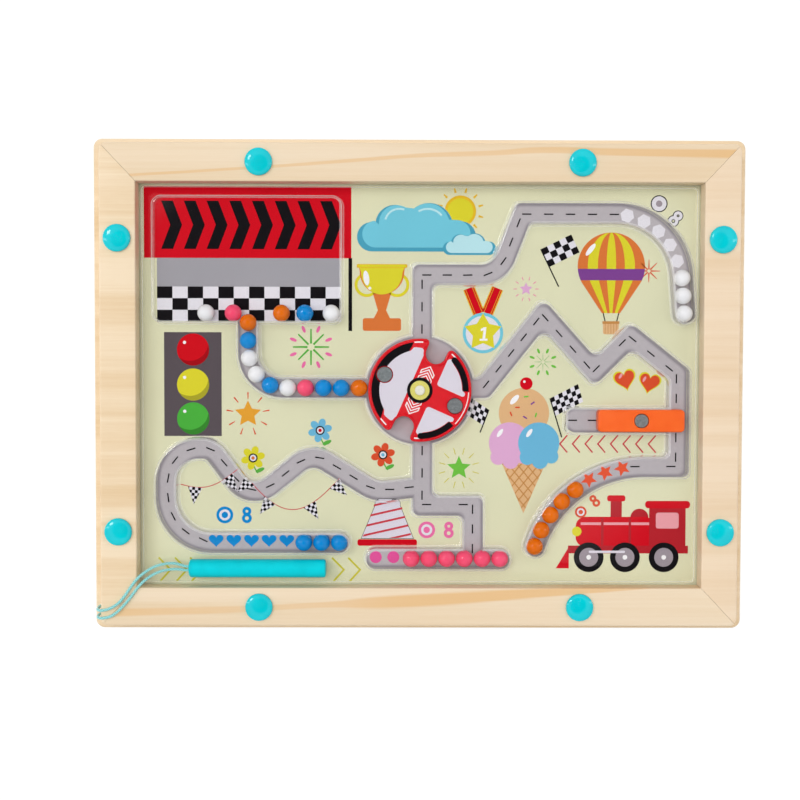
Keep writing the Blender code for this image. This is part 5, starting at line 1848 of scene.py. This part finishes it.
def makeLaneMarks():
    size = dashes
    length, width, pitch = size["length"], size["width"], size["pitch"]
    run = targets["pitch"] * (targets["count"] - 1)
    dash = box(-length / 2, -width / 2, length / 2, width / 2)
    for name, (begin, end) in size["spans"].items():
        # the dashes start again at each sharp corner, and follow a wide one
        corners = laneCorners[name]
        legs = [[]]
        for i, corner in enumerate(corners):
            legs[-1].append(corner)
            if 0 < i < len(corners) - 1 and corner[2] < size["sharp"]:
                legs.append([corner])
        for k, leg in enumerate(legs):
            points = laneSide(leg, 0)
            last = run + targets["room"] if end is None else end
            start = length / 2 if k else begin
            stop = lengthOf(points) - (last if k == len(legs) - 1 else length)
            if stop - start >= length:
                printAlong("dashes_%s_%d" % (name, k + 1), stretch(points, start, stop), dash, pitch, "black")
    x, y = size["sliderFrom"]
    path = [(x + i, y) for i in range(0, size["sliderLength"] + 1, 2)]
    printAlong("dashes_slider", path, dash, size["sliderPitch"], "black")
    for name, (outline, colour) in targets["shapes"].items():
        path = stretch(laneSide(laneCorners[name], 0)[::-1], 0, run + 0.01)
        # the first hearts lie where their lane comes in
        printAlong("targets_" + name, path[::-1] if name == "blue" else path, outline, targets["pitch"],
                   colour)


makeLaneMarks()
print("lane marks done")


# the gate's printed label, with the black boss and its yellow ring round the axle

gateLabel = {
    "outer": 22.1, "hole": 0.1, "holeSpan": (13, 15),
    "bossRadius": 5.85, "bossEdge": 0.2, "ringRadius": 4.4, "ringLift": 0.06, "sink": 0.1,
}


def makeGateLabel():
    size = gateLabel
    panelLeft = ([(-4.9, -15.0), (-4.9, 15.0)] + arc(-7.6, 15.4, 2.7, 0, 75, 6) + arc(0, 0, 19.7, 119, 122, 2)
                 + arc(0, 0, 18.5, 127, 233, 30) + arc(0, 0, 19.7, 238, 241, 2)
                 + arc(-7.4, -15.6, 2.5, -75, 0, 6))
    bandLeft = arc(0, 0, size["outer"], 121, 240, 40) + arc(0, 0, 18.5, 231, 129, 32)
    panel = (arc(7.4, 6.6, 1.4, 180, 262, 5) + [(18.4, 5.2)] + arc(18.6, 6.3, 1.1, -80, 60, 5)
             + arc(0, 0, 19.3, 24, 62, 12) + arc(7.6, 17.2, 1.6, 50, 175, 6))
    gripEnd = [20.9 * way(math.radians(65)) for way in (math.cos, math.sin)]
    grip = arc(0, 0, 22.3, 22.5, 64.5, 20) + arc(*gripEnd, 1.4, 65, 245, 8) + arc(0, 0, 19.5, 64.5, 22.5, 20)
    dashOf = lambda start, stop, radius=22.0: stroke(arc(0, 0, radius, start, stop, 12), 0.6)
    shapes = [(panelLeft, 0, "lavender"), (bandLeft, 1, "black")]
    for side in (1, -1):
        flip = lambda outline: [(x, side * y) for x, y in outline]
        shapes += [(flip(panel), 0, "lavender"), (flip(grip), 1, "black"),
                   (flip(dashOf(66, 72.7)), 0, "shine"), (flip(dashOf(110, 120.5)), 0, "shine")]
        for low, high in ((7.2, 8.7), (10.2, 11.7)):
            # each chevron is an outline with a red core
            shapes += [(flip(stroke([(-3.2, apex - 2.9), (0, apex), (3.2, apex - 2.9)], 0.46)), 0, "shine")
                       for apex in (low, high)]
            shapes += [(flip(stroke([(end, low - 3.0), (end, high - 2.6)], 0.46)), 1, "shine")
                       for end in (-3.1, 3.1)]
    shapes.append((dashOf(-19.5, 21.5, 22.4), 0, "shine"))
    holes = []
    for side in (-1, 1):
        hole = prism("hole", circle(gate["pocket"] + size["hole"], (side * gate["discReach"], 0)),
                     *size["holeSpan"])
        hole.data.transform(gatePlace)
        holes.append(hole)
    printArt("gateLabel", shapes, gate["faceTop"], "rotor", "rotor_red", gatePlace, holes)
    bore, top, low, edge = gate["bore"], gate["rimTop"], gate["faceTop"] - size["sink"], size["bossEdge"]
    radius, ring, lift = size["bossRadius"], size["ringRadius"], size["ringLift"]
    bossProfile = [(bore, low), (radius, low), (radius, top - edge), (radius - edge, top), (bore, top)]
    ringProfile = [(bore, top - size["sink"]), (ring, top - size["sink"]), (ring, top + lift),
                   (bore, top + lift)]
    for name, profile, inkName in (("gateBoss", bossProfile, "black"),
                                   ("gateRing", ringProfile, "hubYellow")):
        dress(turned(name, profile, 72, (hubX, hubY, 0), smooth=30), ink(inkName), "rotor", "rotor_red")


makeGateLabel()
print("gate label done")
